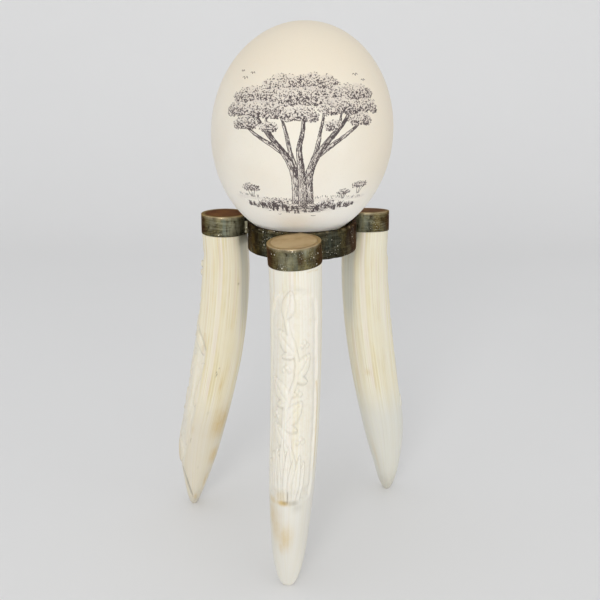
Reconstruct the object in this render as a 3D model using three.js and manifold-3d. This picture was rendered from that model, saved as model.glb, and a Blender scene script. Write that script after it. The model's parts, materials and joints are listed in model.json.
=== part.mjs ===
// An ostrich egg standing upright in a brass ring on three tusk legs.
//
// Millimetres, +Z up. The legs' worn tips stand on z = 0, the viewer is towards -Y, and the origin is the
// middle of the bounding box's floor. An azimuth is measured round +Z from -Y, positive towards +X.
//
// The egg rests on the inner rim of the ring. Three capped tusks are soldered round the ring. A cap is a
// short length of brass tube, the band, with a round plate let into its top. Each tusk has a turned root
// that fills the band, bows outwards on its way down, and ends in a chisel tip worn on its outer side.
// Below the band its outer side is sunk a little, as a carved panel, and its inner side has a shallow
// groove that fades out halfway down.

import * as THREE from 'three';
import { mergeVertices } from 'three/addons/utils/BufferGeometryUtils.js';
import Module from 'manifold-3d';

const wasm = await Module();
wasm.setup();

const degree = Math.PI / 180;

// Egg
const eggWidth = 130.5;
const eggHeight = 154.6;
const eggLean = 5 * degree; // towards +X

// Ring
const ringRadius = 40.5;
const ringWall = 3.4;
const ringHeight = 20.2;
const ringBottom = 228.6;
const ringBevel = 0.7;

// Caps
const bandHeight = 14.7;
const bandWall = 3;
const bandBevel = 0.7;
const plateThickness = 2.6;
const plateSink = 0.25;
const solderWidth = 10;
const solderInset = 1;

// Pieces that touch keep this clearance
const gap = 0.3;

// One leg each: where its cap stands, how the cap leans (its up direction's x and y per unit of z), which
// way and how far the tusk bows outwards on its way to the floor, how far its tip turns out beyond that,
// and how far its middle sways aside.
const legs = [
  {
    name: 'front', azimuth: -5.5, reach: 60.3, capTop: 247.6, capRadius: 18.8, lean: [-0.06, -0.064],
    heading: -9.5, bow: 33.5, tipTurn: 0, sway: 1.7,
  },
  {
    name: 'left', azimuth: -101, reach: 59.3, capTop: 252.2, capRadius: 17.6, lean: [0.005, 0.01],
    heading: -113.5, bow: 35, tipTurn: 0.4, sway: 0,
  },
  {
    name: 'right', azimuth: 123.4, reach: 59.4, capTop: 249.9, capRadius: 18, lean: [0, 0.1],
    heading: 128.5, bow: 32.4, tipTurn: -1.8, sway: 0,
  },
];

// A tusk's rows run from the band's lower edge to the tip: height as a share of the band's lower edge,
// outward drift as a share of the leg's bow, and the half widths along and across the bow as shares of
// the cap's radius. Each tusk first leans in a little, under the ring.
const tuskRows = [
  { height: 1.0, drift: 0.0, along: 0.98, across: 0.985 },
  { height: 0.94, drift: -0.02, along: 1.0, across: 0.975 },
  { height: 0.88, drift: -0.005, along: 1.08, across: 0.97 },
  { height: 0.77, drift: 0.065, along: 1.135, across: 0.96 },
  { height: 0.66, drift: 0.18, along: 1.175, across: 0.945 },
  { height: 0.55, drift: 0.322, along: 1.17, across: 0.933 },
  { height: 0.42, drift: 0.525, along: 1.14, across: 0.903 },
  { height: 0.3, drift: 0.733, along: 1.09, across: 0.84 },
  { height: 0.2, drift: 0.86, along: 0.93, across: 0.74 },
  { height: 0.13, drift: 0.91, along: 0.66, across: 0.665 },
  { height: 0.07, drift: 0.95, along: 0.43, across: 0.54 },
  { height: 0.03, drift: 0.978, along: 0.25, across: 0.4 },
  { height: 0.009, drift: 0.994, along: 0.16, across: 0.26 },
  { height: 0.0, drift: 1.0, along: 0.09, across: 0.15 },
];
const stepsPerRow = 2;
const grooveDepth = 2.0;
const grooveHalfWidth = 26 * degree;
const grooveHeights = [0.55, 0.9]; // shares of height where it has faded out and where it is full
const panelDepth = 0.9;
const panelHalfWidth = 52 * degree;
const panelHeights = [0.335, 0.93]; // shares of height
const panelEdge = 0.02; // share of height over which it sinks in
const wearStart = 0.2; // share of height below which the outer side is worn flat
const wearFlatness = 0.45;
const leanStart = 0.75; // share of height above which the rows lean with the cap
const tipTurnStart = 0.13; // share of height below which the tip turns

// Mesh fineness
const eggTurns = 36;
const eggRows = 22;
const ringTurns = 56;
const capTurns = 36;
const tuskTurns = 24;
const rimSteps = 72; // points round each rim that the egg must clear
const heightStep = 0.01;

const shellLook = new THREE.MeshStandardMaterial({ color: 0xeee6d4, roughness: 0.45, metalness: 0 });
const brassLook = new THREE.MeshStandardMaterial({ color: 0x6d6345, roughness: 0.45, metalness: 1 });
const plateLook = new THREE.MeshStandardMaterial({ color: 0x9a8260, roughness: 0.3, metalness: 1 });
const tuskLook = new THREE.MeshStandardMaterial({ color: 0xe6dcc2, roughness: 0.5, metalness: 0 });

/** Names a geometry's mesh and gives it its look. */
function piece(name, geometry, look) {
  const mesh = new THREE.Mesh(geometry, look);
  mesh.name = name;
  return mesh;
}

/** Turns a profile of [radius, height] pairs round +Z. */
function turned(profile, turns) {
  const points = profile.map(([radius, height]) => new THREE.Vector2(radius, height));
  return new THREE.LatheGeometry(points, turns).rotateX(Math.PI / 2);
}

/** A geometry as a manifold solid, for cutting and joining. */
function solid(geometry) {
  const bare = geometry.clone().deleteAttribute('normal').deleteAttribute('uv');
  const merged = mergeVertices(bare, 1e-4);
  return new wasm.Manifold(new wasm.Mesh({
    numProp: 3,
    vertProperties: new Float32Array(merged.attributes.position.array),
    triVerts: new Uint32Array(merged.index.array),
  }));
}

/** A manifold solid as a geometry. */
function geometryOf(shape) {
  const mesh = shape.getMesh();
  const geometry = new THREE.BufferGeometry();
  geometry.setAttribute('position', new THREE.BufferAttribute(new Float32Array(mesh.vertProperties), 3));
  geometry.setIndex(new THREE.BufferAttribute(new Uint32Array(mesh.triVerts), 1));
  geometry.computeVertexNormals();
  return geometry;
}

/** A closed body from rings of points, listed from its bottom ring to its top ring, each anticlockwise. */
function loft(rings) {
  const turns = rings[0].length;
  const points = rings.flat();
  const triangles = [];
  for (let row = 0; row + 1 < rings.length; row++) {
    for (let k = 0; k < turns; k++) {
      const a = row * turns + k;
      const b = row * turns + ((k + 1) % turns);
      triangles.push(a, b, b + turns, a, b + turns, a + turns);
    }
  }
  for (const [first, ring, up] of [[0, rings[0], false], [points.length - turns, rings.at(-1), true]]) {
    const middle = points.length;
    points.push(ring.reduce((sum, point) => sum.add(point), new THREE.Vector3()).divideScalar(turns));
    for (let k = 0; k < turns; k++) {
      const edge = [first + k, first + ((k + 1) % turns)];
      triangles.push(...(up ? edge : edge.reverse()), middle);
    }
  }
  const geometry = new THREE.BufferGeometry().setFromPoints(points);
  geometry.setIndex(triangles);
  geometry.computeVertexNormals();
  return geometry;
}

/** The unit vector of an azimuth in degrees. */
function towards(azimuth) {
  return new THREE.Vector3(Math.sin(azimuth * degree), -Math.cos(azimuth * degree), 0);
}

/** 0 below low, 1 above high, and smooth between them. */
function rise(value, low, high) {
  return THREE.MathUtils.smoothstep(value, low, high);
}

/** A leg's cap frame: origin at the middle of the cap's top, local z along the cap's axis. */
function capFrame(leg) {
  const up = new THREE.Vector3(leg.lean[0], leg.lean[1], 1).normalize();
  const turn = new THREE.Quaternion().setFromUnitVectors(new THREE.Vector3(0, 0, 1), up);
  const top = towards(leg.azimuth).multiplyScalar(leg.reach).setZ(leg.capTop);
  return new THREE.Matrix4().compose(top, turn, new THREE.Vector3(1, 1, 1));
}

/** The brass ring that the egg rests in. */
function ringGeometry() {
  const inner = ringRadius - ringWall;
  const top = ringBottom + ringHeight;
  return turned([
    [inner, ringBottom],
    [ringRadius - ringBevel, ringBottom],
    [ringRadius, ringBottom + ringBevel],
    [ringRadius, top - ringBevel],
    [ringRadius - ringBevel, top],
    [inner + ringBevel, top],
    [inner, top - ringBevel],
    [inner, ringBottom],
  ], ringTurns);
}

/** The lowest height of the egg's middle at which it clears the ring's rim and the caps. */
function eggMiddle() {
  const rim = [];
  for (let k = 0; k < rimSteps; k++) {
    const way = towards((k / rimSteps) * 360);
    const inner = ringRadius - ringWall;
    rim.push(way.clone().multiplyScalar(inner + ringBevel).setZ(ringBottom + ringHeight));
    rim.push(way.clone().multiplyScalar(inner).setZ(ringBottom + ringHeight - ringBevel));
    for (const leg of legs) {
      rim.push(way.clone().multiplyScalar(leg.capRadius).applyMatrix4(capFrame(leg)));
    }
  }
  const upright = new THREE.Vector3(0, 1, 0);
  const wide = eggWidth / 2 + gap;
  const high = eggHeight / 2 + gap;
  const clears = (middle) => rim.every((point) => {
    const local = point.clone().setZ(point.z - middle).applyAxisAngle(upright, -eggLean);
    return Math.hypot(local.x / wide, local.y / wide, local.z / high) > 1;
  });
  let low = ringBottom;
  let safe = ringBottom + eggHeight;
  while (safe - low > heightStep) {
    const middle = (low + safe) / 2;
    if (clears(middle)) safe = middle;
    else low = middle;
  }
  return safe;
}

/** The egg, an ellipsoid of revolution with its poles on the local z axis. */
function eggGeometry() {
  const profile = [];
  for (let row = 0; row <= eggRows; row++) {
    const angle = (row / eggRows) * Math.PI;
    profile.push([Math.sin(angle) * eggWidth / 2, -Math.cos(angle) * eggHeight / 2]);
  }
  profile[0][0] = 0;
  profile[eggRows][0] = 0;
  return turned(profile, eggTurns);
}

/** A cap's band with its solder seam, cut to the ring's outside. */
function bandGeometry(leg) {
  const outer = leg.capRadius;
  const inner = outer - bandWall;
  const frame = capFrame(leg);
  const band = solid(turned([
    [inner, -bandHeight],
    [outer, -bandHeight],
    [outer, -bandBevel],
    [outer - bandBevel, 0],
    [inner, 0],
    [inner, -bandHeight],
  ], capTurns).applyMatrix4(frame));

  const low = Math.max(leg.capTop - bandHeight, ringBottom) + solderInset;
  const high = Math.min(leg.capTop, ringBottom + ringHeight) - solderInset;
  const seamReach = leg.reach - outer + bandWall / 2;
  const seamDepth = seamReach - ringRadius + ringWall;
  const seam = new THREE.BoxGeometry(solderWidth, seamDepth, high - low)
    .translate(0, -(seamReach - seamDepth / 2), (low + high) / 2)
    .rotateZ(leg.azimuth * degree);
  const core = new THREE.CylinderGeometry(outer - bandWall / 2, outer - bandWall / 2, 4 * bandHeight, capTurns)
    .rotateX(Math.PI / 2)
    .applyMatrix4(frame);
  const ringSpace = new THREE.CylinderGeometry(ringRadius + gap, ringRadius + gap, 3 * ringHeight, ringTurns)
    .rotateX(Math.PI / 2)
    .translate(0, 0, ringBottom + ringHeight / 2);
  return geometryOf(band.add(solid(seam).subtract(solid(core))).subtract(solid(ringSpace)));
}

/** A cap's plate, let into the top of its band. */
function plateGeometry(leg) {
  const radius = leg.capRadius - bandWall - gap;
  return turned([
    [0, -plateSink - plateThickness],
    [radius, -plateSink - plateThickness],
    [radius, -plateSink],
    [0, -plateSink],
  ], capTurns).applyMatrix4(capFrame(leg));
}

/** A closed outline's point at an angle from the outward side, for one level of a tusk. */
function tuskOffset(leg, level, angle) {
  const worn = 1 - rise(level.height, 0, wearStart);
  const outward = Math.cos(angle);
  const flattened = outward > 0 ? outward ** (1 - wearFlatness * worn) : outward;
  const turn = Math.abs(Math.atan2(Math.sin(angle), outward));
  const inPanel = turn < panelHalfWidth ? 1 : 0;
  const panel = rise(level.height, panelHeights[0], panelHeights[0] + panelEdge)
    * (1 - rise(level.height, panelHeights[1] - panelEdge, panelHeights[1]));
  const inGroove = Math.max(0, 1 - ((Math.PI - turn) / grooveHalfWidth) ** 2);
  const groove = inGroove * rise(level.height, grooveHeights[0], grooveHeights[1]);
  const sunk = inPanel * panel * panelDepth + groove * grooveDepth;
  const along = flattened * level.along * leg.capRadius;
  const across = Math.sin(angle) * level.across * leg.capRadius;
  const shrink = 1 - sunk / Math.hypot(along, across);
  return [along * shrink, across * shrink];
}

/** A tusk: its turned root inside the band, and its bowed body down to the worn tip. */
function tuskGeometry(leg) {
  const shape = new THREE.CatmullRomCurve3(
    tuskRows.map((row) => new THREE.Vector3(row.height, row.drift, 0)), false, 'catmullrom', 0.5);
  const widths = new THREE.CatmullRomCurve3(
    tuskRows.map((row) => new THREE.Vector3(row.along, row.across, 0)), false, 'catmullrom', 0.5);
  const frame = capFrame(leg);
  const shoulder = new THREE.Vector3(0, 0, -bandHeight - gap).applyMatrix4(frame);
  const out = towards(leg.heading);
  const side = new THREE.Vector3(0, 0, 1).cross(out);
  const rings = [];

  const steps = (tuskRows.length - 1) * stepsPerRow;
  for (let step = steps; step >= 0; step--) {
    const centre = shape.getPoint(step / steps);
    const width = widths.getPoint(step / steps);
    const level = { height: Math.max(centre.x, 0), along: width.x, across: width.y };
    const tipShare = 1 - rise(level.height, 0, tipTurnStart);
    const middle = shoulder.clone()
      .addScaledVector(out, centre.y * leg.bow + tipShare * leg.tipTurn)
      .addScaledVector(side, Math.sin(level.height * Math.PI) * leg.sway)
      .setZ(level.height * shoulder.z);
    const tilt = rise(level.height, leanStart, 1);
    const ring = [];
    for (let k = 0; k < tuskTurns; k++) {
      const [along, across] = tuskOffset(leg, level, (k / tuskTurns) * 2 * Math.PI);
      const point = middle.clone().addScaledVector(out, along).addScaledVector(side, across);
      point.z -= tilt * (leg.lean[0] * (point.x - middle.x) + leg.lean[1] * (point.y - middle.y));
      ring.push(point);
    }
    rings.push(ring);
  }

  const rootRadius = leg.capRadius - bandWall - gap;
  const rootTop = -plateSink - plateThickness - gap;
  const start = leg.heading * degree - Math.PI / 2;
  for (const height of [-bandHeight - gap, rootTop]) {
    const ring = [];
    for (let k = 0; k < tuskTurns; k++) {
      const angle = start + (k / tuskTurns) * 2 * Math.PI;
      ring.push(new THREE.Vector3(rootRadius * Math.cos(angle), rootRadius * Math.sin(angle), height)
        .applyMatrix4(frame));
    }
    rings.push(ring);
  }
  return loft(rings);
}

const holder = new THREE.Group();
holder.add(piece('ring', ringGeometry(), brassLook));
for (const leg of legs) {
  holder.add(piece(`${leg.name}_cap_band`, bandGeometry(leg), brassLook));
  holder.add(piece(`${leg.name}_cap_plate`, plateGeometry(leg), plateLook));
  holder.add(piece(`${leg.name}_tusk`, tuskGeometry(leg), tuskLook));
}

const egg = piece('egg', eggGeometry(), shellLook);
egg.position.z = eggMiddle();
egg.rotation.y = eggLean;

const object = new THREE.Group();
object.add(egg, holder);

// The legs aren't evenly spaced, so the whole is moved to put the box's middle over the origin.
object.updateMatrixWorld(true);
const middle = new THREE.Box3().setFromObject(object, true).getCenter(new THREE.Vector3());
object.position.set(-middle.x, -middle.y, 0);

export default object;
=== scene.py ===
"""Dresses an ostrich egg that stands in a brass ring on three capped tusk legs.

Everything is in metres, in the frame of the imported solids: +Z up, the legs' tips on z = 0 and the viewer
towards -Y. Sizes that the solids hold are read from them, and the rest are named here.
"""

from __future__ import annotations

import json
import logging
import math
import random
from dataclasses import dataclass, field
from enum import Enum
from typing import Callable, Sequence, Union

import bmesh
import bpy
import numpy as np
from mathutils import Matrix, Vector, noise

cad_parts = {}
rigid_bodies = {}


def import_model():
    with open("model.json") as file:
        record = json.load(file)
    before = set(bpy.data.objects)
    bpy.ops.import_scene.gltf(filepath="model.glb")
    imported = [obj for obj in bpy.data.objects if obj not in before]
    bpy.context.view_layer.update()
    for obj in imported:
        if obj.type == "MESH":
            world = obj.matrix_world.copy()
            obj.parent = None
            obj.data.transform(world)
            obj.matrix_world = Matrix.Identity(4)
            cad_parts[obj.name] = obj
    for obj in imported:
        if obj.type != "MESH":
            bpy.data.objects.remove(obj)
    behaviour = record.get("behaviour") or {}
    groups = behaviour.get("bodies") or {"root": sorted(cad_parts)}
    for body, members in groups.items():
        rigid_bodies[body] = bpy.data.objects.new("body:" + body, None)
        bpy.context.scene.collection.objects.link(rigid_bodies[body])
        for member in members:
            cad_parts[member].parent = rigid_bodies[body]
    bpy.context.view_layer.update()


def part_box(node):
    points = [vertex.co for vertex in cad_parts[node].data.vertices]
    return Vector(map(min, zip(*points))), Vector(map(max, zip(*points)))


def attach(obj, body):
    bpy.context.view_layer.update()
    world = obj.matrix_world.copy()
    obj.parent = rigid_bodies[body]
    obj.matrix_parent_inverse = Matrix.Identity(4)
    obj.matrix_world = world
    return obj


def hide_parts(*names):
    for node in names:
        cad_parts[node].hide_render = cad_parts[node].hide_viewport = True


log = logging.getLogger("ostrich_egg")

MM = 0.001
BODY = "root"
TINY = 0.01 * MM
Array = np.ndarray
Look = bpy.types.Material
Pair = tuple[float, float]
Thing = bpy.types.Object
Triple = tuple[float, float, float]
Colour = tuple[float, float, float, float]
Value = Union["Wire", float, int, tuple]


class Slot(Enum):
    """The record's material slots."""

    EGGSHELL = "eggshell"
    TUSK = "tusk"
    BRASS = "brass"
    PLATE = "plate_brass"


def tint(red: int, green: int, blue: int) -> Colour:
    """Turns a colour on the usual 0 to 255 scale into the linear one that shaders use.

    Args:
        red: Red, 0 to 255.
        green: Green, 0 to 255.
        blue: Blue, 0 to 255.

    Returns:
        The linear colour, with full alpha.
    """
    parts = [c / 255 for c in (red, green, blue)]
    linear = [c / 12.92 if c <= 0.04 else ((c + 0.055) / 1.055) ** 2.4 for c in parts]
    return (linear[0], linear[1], linear[2], 1.0)


def ease(value: Array, low: float, high: float) -> Array:
    """Goes smoothly from 0 at low to 1 at high.

    Args:
        value: The numbers to ease.
        low: Where it starts to rise.
        high: Where it is full.

    Returns:
        An array of shares from 0 to 1.
    """
    share = np.clip((value - low) / (high - low), 0.0, 1.0)
    return share * share * (3.0 - 2.0 * share)


# --- The modelling bench ---


class Part(Enum):
    """What is picked in edit mode."""

    FACES = "FACE"
    EDGES = "EDGE"


class Bench:
    """Small modelling steps on one object at a time."""

    @staticmethod
    def clear() -> None:
        """Leaves edit mode and deselects everything."""
        if bpy.context.object and bpy.context.object.mode != "OBJECT":
            bpy.ops.object.mode_set(mode="OBJECT")
        bpy.ops.object.select_all(action="DESELECT")

    @staticmethod
    def take(obj: Thing) -> None:
        """Makes one object the selected and active one.

        Args:
            obj: The object.
        """
        Bench.clear()
        obj.select_set(True)
        bpy.context.view_layer.objects.active = obj

    @staticmethod
    def edit(obj: Thing) -> None:
        """Opens an object in edit mode with nothing selected.

        Args:
            obj: The object.
        """
        Bench.take(obj)
        bpy.ops.object.mode_set(mode="EDIT")
        bpy.ops.mesh.select_all(action="DESELECT")

    @staticmethod
    def pick(obj: Thing, kind: Part, wanted: Callable[[bmesh.types.BMElem], bool]) -> None:
        """Selects, in edit mode, just the faces or edges that answer to a test.

        Args:
            obj: The object being edited.
            kind: Faces or edges.
            wanted: The test, given each of them.
        """
        bpy.ops.mesh.select_mode(type=kind.value)
        mesh = bmesh.from_edit_mesh(obj.data)
        parts = mesh.faces if kind is Part.FACES else mesh.edges
        for part in parts:
            part.select_set(False)
        for part in [part for part in parts if wanted(part)]:
            part.select_set(True)
        bmesh.update_edit_mesh(obj.data)

    @staticmethod
    def modify(obj: Thing, kind: str, **settings: object) -> None:
        """Adds a modifier, sets it and applies it.

        Args:
            obj: The object to change.
            kind: The modifier's type.
            settings: The modifier's properties.
        """
        Bench.take(obj)
        modifier = obj.modifiers.new(kind.lower(), kind)
        for key, value in settings.items():
            setattr(modifier, key, value)
        bpy.ops.object.modifier_apply(modifier=modifier.name)

    @staticmethod
    def settle(obj: Thing) -> Thing:
        """Puts an object's place, turn and scale into its mesh.

        Args:
            obj: The object.

        Returns:
            The same object.
        """
        Bench.take(obj)
        bpy.ops.object.transform_apply(location=True, rotation=True, scale=True)
        return obj

    @staticmethod
    def place(obj: Thing, matrix: Matrix) -> Thing:
        """Moves an object that was modelled about the origin, and gives the object."""
        obj.matrix_world = matrix @ obj.matrix_world
        return Bench.settle(obj)

    @staticmethod
    def cylinder(radius: float, height: float, sides: int, middle: float = 0.0) -> Thing:
        """Models an upright cylinder.

        Args:
            radius: Its radius.
            height: Its height.
            sides: How many sides it has.
            middle: How far its middle is above the origin.

        Returns:
            The cylinder.
        """
        Bench.clear()
        bpy.ops.mesh.primitive_cylinder_add(vertices=sides, radius=radius, depth=height)
        return Bench.place(bpy.context.object, Matrix.Translation((0, 0, middle)))

    @staticmethod
    def copy(node: Thing, name: str) -> Thing:
        """Copies a solid, with a mesh of its own whose triangles are joined up and made into quads.

        Args:
            node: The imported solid.
            name: The copy's name.

        Returns:
            The copy.
        """
        piece = bpy.data.objects.new(name, node.data.copy())
        piece.data.materials.clear()
        bpy.context.scene.collection.objects.link(piece)
        Bench.take(piece)
        bpy.ops.mesh.customdata_custom_splitnormals_clear()
        Bench.edit(piece)
        bpy.ops.mesh.select_all(action="SELECT")
        bpy.ops.mesh.remove_doubles(threshold=TINY)
        bpy.ops.mesh.tris_convert_to_quads(face_threshold=math.pi, shape_threshold=math.pi)
        bpy.ops.object.mode_set(mode="OBJECT")
        return piece

    @staticmethod
    def finish(obj: Thing, name: str, slot: Slot, look: Look, *nodes: str) -> None:
        """Names a piece, dresses it and ties it to the frame.

        Args:
            obj: The finished piece.
            name: Its name.
            slot: The record's slot for the piece; it is not used.
            look: Its material.
            nodes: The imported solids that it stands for.
        """
        obj.name = name
        obj.data.name = name
        obj.data.materials.clear()
        obj.data.materials.append(look)
        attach(obj, BODY)
        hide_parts(*nodes)
        log.info("%s: %d faces", name, len(obj.data.polygons))


def triples_of(items: bpy.types.bpy_prop_collection, key: str) -> Array:
    """Reads three numbers from each item of a mesh's data.

    Args:
        items: The mesh's points or normals.
        key: What is read from each.

    Returns:
        One row for each item.
    """
    flat = np.empty(len(items) * 3)
    items.foreach_get(key, flat)
    return flat.reshape(-1, 3)


def points_of(obj: Thing) -> Array:
    """Gives a mesh's points as an array, one row each."""
    return triples_of(obj.data.vertices, "co")


def normals_of(obj: Thing) -> Array:
    """Gives a mesh's point normals as an array, one row each."""
    return triples_of(obj.data.vertex_normals, "vector")


def axis_of(points: Array, place: int) -> tuple[Array, Array]:
    """Finds the middle of points and one of their own axes.

    Args:
        points: The points, one row each.
        place: 0 for the axis that they are shortest along, 2 for the longest.

    Returns:
        The middle of their box, and the axis pointing up.
    """
    middle = (points.min(0) + points.max(0)) / 2
    _, vectors = np.linalg.eigh(np.cov((points - middle).T))
    return middle, vectors[:, place] * np.sign(vectors[2, place])


def move_points(obj: Thing, points: Array) -> None:
    """Writes a mesh's points back."""
    obj.data.vertices.foreach_set("co", points.ravel())
    obj.data.update()


def store(obj: Thing, name: str, *columns: Array) -> None:
    """Keeps up to three numbers on every point of a mesh, for its material to read.

    Args:
        obj: The object.
        name: The attribute's name.
        columns: The first, second and third number of each point; 0 where one is left out.
    """
    values = np.zeros((len(obj.data.vertices), 3), np.float32)
    for place, column in enumerate(columns):
        values[:, place] = column
    layer = obj.data.attributes.new(name, "FLOAT_VECTOR", "POINT")
    layer.data.foreach_set("vector", values.ravel())


def turned_from(turns: Array, degrees: float) -> Array:
    """Gives how far turns in radians are from a turn in degrees, from minus to plus half a round."""
    return (turns - math.radians(degrees) + math.pi) % math.tau - math.pi


def wander(points: Array, scale: float, seed: float = 0.0) -> Array:
    """Gives smooth noise from -1 to 1 at each point.

    Args:
        points: The points, one row each.
        scale: How many ups and downs it has in a metre.
        seed: Shifts the noise to another place.

    Returns:
        One number for each point.
    """
    shifted = points * scale + seed
    return np.array([noise.noise(Vector(row)) for row in shifted])


# --- Material building ---


class Wire:
    """A node's output, on which arithmetic adds Math nodes."""

    def __init__(self, recipe: "Recipe", socket: bpy.types.NodeSocket) -> None:
        """Wraps one output socket of a recipe's tree."""
        self.recipe = recipe
        self.socket = socket

    def math(self, operation: str, *values: Value) -> "Wire":
        """Adds one Math node, with its values in order, and gives its result."""
        return self.recipe.node("ShaderNodeMath", {"operation": operation}, dict(enumerate(values)))

    def __add__(self, other: Value) -> "Wire":
        """Adds."""
        return self.math("ADD", self, other)

    def __radd__(self, other: Value) -> "Wire":
        """Adds, with the wire on the right."""
        return self.math("ADD", other, self)

    def __sub__(self, other: Value) -> "Wire":
        """Subtracts."""
        return self.math("SUBTRACT", self, other)

    def __rsub__(self, other: Value) -> "Wire":
        """Subtracts the wire."""
        return self.math("SUBTRACT", other, self)

    def __mul__(self, other: Value) -> "Wire":
        """Multiplies."""
        return self.math("MULTIPLY", self, other)

    def __rmul__(self, other: Value) -> "Wire":
        """Multiplies, with the wire on the right."""
        return self.math("MULTIPLY", other, self)

    def largest(self, other: Value) -> "Wire":
        """Takes the larger of two."""
        return self.math("MAXIMUM", self, other)

    def within(self, low: float, high: float) -> "Wire":
        """Rises smoothly from 0 at low to 1 at high, or falls where low is the larger.

        Args:
            low: The value that gives 0.
            high: The value that gives 1.

        Returns:
            A share from 0 to 1.
        """
        settings = {"interpolation_type": "SMOOTHSTEP"}
        flip = low > high
        span = (high, low) if flip else (low, high)
        ends = (1.0, 0.0) if flip else (0.0, 1.0)
        sockets = dict(zip(("Value", "From Min", "From Max", "To Min", "To Max"), (self, *span, *ends)))
        return self.recipe.node("ShaderNodeMapRange", settings, sockets)


class Recipe:
    """One material's node tree, with a Principled shader at its end."""

    def __init__(self, name: str) -> None:
        """Starts a material with a bare Principled shader.

        Args:
            name: The material's name.
        """
        self.material = bpy.data.materials.new(name)
        self.material.use_nodes = True
        self.tree = self.material.node_tree
        self.tree.nodes.clear()
        end = self.tree.nodes.new("ShaderNodeOutputMaterial")
        self.shader = self.tree.nodes.new("ShaderNodeBsdfPrincipled")
        self.tree.links.new(self.shader.outputs[0], end.inputs["Surface"])

    def feed(self, node: bpy.types.Node, key: Union[str, int], value: Value) -> None:
        """Sets or links one socket of a node.

        Args:
            node: The node.
            key: The socket's name or place.
            value: A wire to link, or a value to set.
        """
        socket = node.inputs[key]
        if isinstance(value, Wire):
            self.tree.links.new(value.socket, socket)
        else:
            socket.default_value = value

    def node(
        self,
        kind: str,
        settings: dict[str, object] | None = None,
        sockets: dict[Union[str, int], Value] | None = None,
        out: Union[str, int] = 0,
    ) -> Wire:
        """Adds a node.

        Args:
            kind: The node's type.
            settings: Its properties, or a ramp's stops, which are set first.
            sockets: The values or links of its sockets.
            out: The name or place of the output that is wanted.

        Returns:
            That output.
        """
        added = self.tree.nodes.new(kind)
        for key, value in (settings or {}).items():
            if key == "stops":
                self.set_stops(added.color_ramp, value)
            else:
                setattr(added, key, value)
        for key, value in (sockets or {}).items():
            self.feed(added, key, value)
        return Wire(self, added.outputs[out])

    @staticmethod
    def set_stops(ramp: bpy.types.ColorRamp, stops: Sequence[tuple[float, Colour]]) -> None:
        """Gives a ramp its stops.

        Args:
            ramp: The ramp.
            stops: The place and colour of each stop.
        """
        while len(ramp.elements) < len(stops):
            ramp.elements.new(1.0)
        for element, (place, colour) in zip(ramp.elements, stops):
            element.position = place
            element.color = colour

    def mix(self, share: Value, first: Value, second: Value) -> Wire:
        """Blends two colours.

        Args:
            share: How much of the second there is, 0 to 1.
            first: The first colour.
            second: The second colour.

        Returns:
            The blend.
        """
        return self.node("ShaderNodeMix", {"data_type": "RGBA"}, {0: share, 6: first, 7: second}, out=2)

    def coats(self, base: Value, *coats: tuple[Value, Value]) -> Value:
        """Lays colours over a base one after another.

        Args:
            base: The colour underneath.
            coats: How much each coat covers, 0 to 1, and its colour.

        Returns:
            The last blend.
        """
        for share, colour in coats:
            base = self.mix(share, base, colour)
        return base

    def place(self) -> Wire:
        """Gives the place on the object, in metres."""
        return self.node("ShaderNodeTexCoord", out="Object")

    def kept(self, name: str) -> Wire:
        """Gives the three numbers that a piece keeps under a name."""
        return self.node("ShaderNodeAttribute", {"attribute_name": name}, out="Vector")

    def split(self, vector: Wire) -> list[Wire]:
        """Gives a vector's three numbers."""
        first = self.node("ShaderNodeSeparateXYZ", None, {0: vector})
        return [Wire(self, output) for output in first.socket.node.outputs]

    def stretch(self, vector: Wire, factors: Triple) -> Wire:
        """Multiplies a vector's parts."""
        return self.node("ShaderNodeVectorMath", {"operation": "MULTIPLY"}, {0: vector, 1: factors})

    def cloud(
        self, vector: Wire, scale: float, detail: float = 2.0, rough: float = 0.5, warp: float = 0.0
    ) -> Wire:
        """Gives soft noise from 0 to 1.

        Args:
            vector: Where it is read.
            scale: How many blobs it has in a unit.
            detail: How many finer layers it has.
            rough: How strong the finer layers are.
            warp: How far it is warped.

        Returns:
            The noise.
        """
        sockets = {"Vector": vector, "Scale": scale, "Detail": detail, "Roughness": rough, "Distortion": warp}
        return self.node("ShaderNodeTexNoise", None, sockets)

    def streaks(self, vector: Wire, factors: Triple, *finer: float) -> Wire:
        """Gives soft noise with its own number of blobs in each direction; finer is as for a cloud."""
        return self.cloud(self.stretch(vector, factors), 1.0, *finer)

    def cells(self, vector: Wire, scale: float) -> Wire:
        """Gives the distance to the nearest of scattered points, as many in a unit as the scale says."""
        return self.node("ShaderNodeTexVoronoi", None, {"Vector": vector, "Scale": scale})

    def bump(self, height: Wire, depth: float) -> Wire:
        """Turns a height into a bumped normal; a height of 1 is worth the depth, in metres."""
        return self.node("ShaderNodeBump", None, {"Height": height, "Distance": depth, "Strength": 1.0})

    def done(self, **sockets: Value) -> Look:
        """Feeds the shader.

        Args:
            sockets: The shader's sockets, with _ for a blank in their names.

        Returns:
            The material.
        """
        for key, value in sockets.items():
            self.feed(self.shader, key.replace("_", " "), value)
        return self.material


# --- Finishes ---


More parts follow.
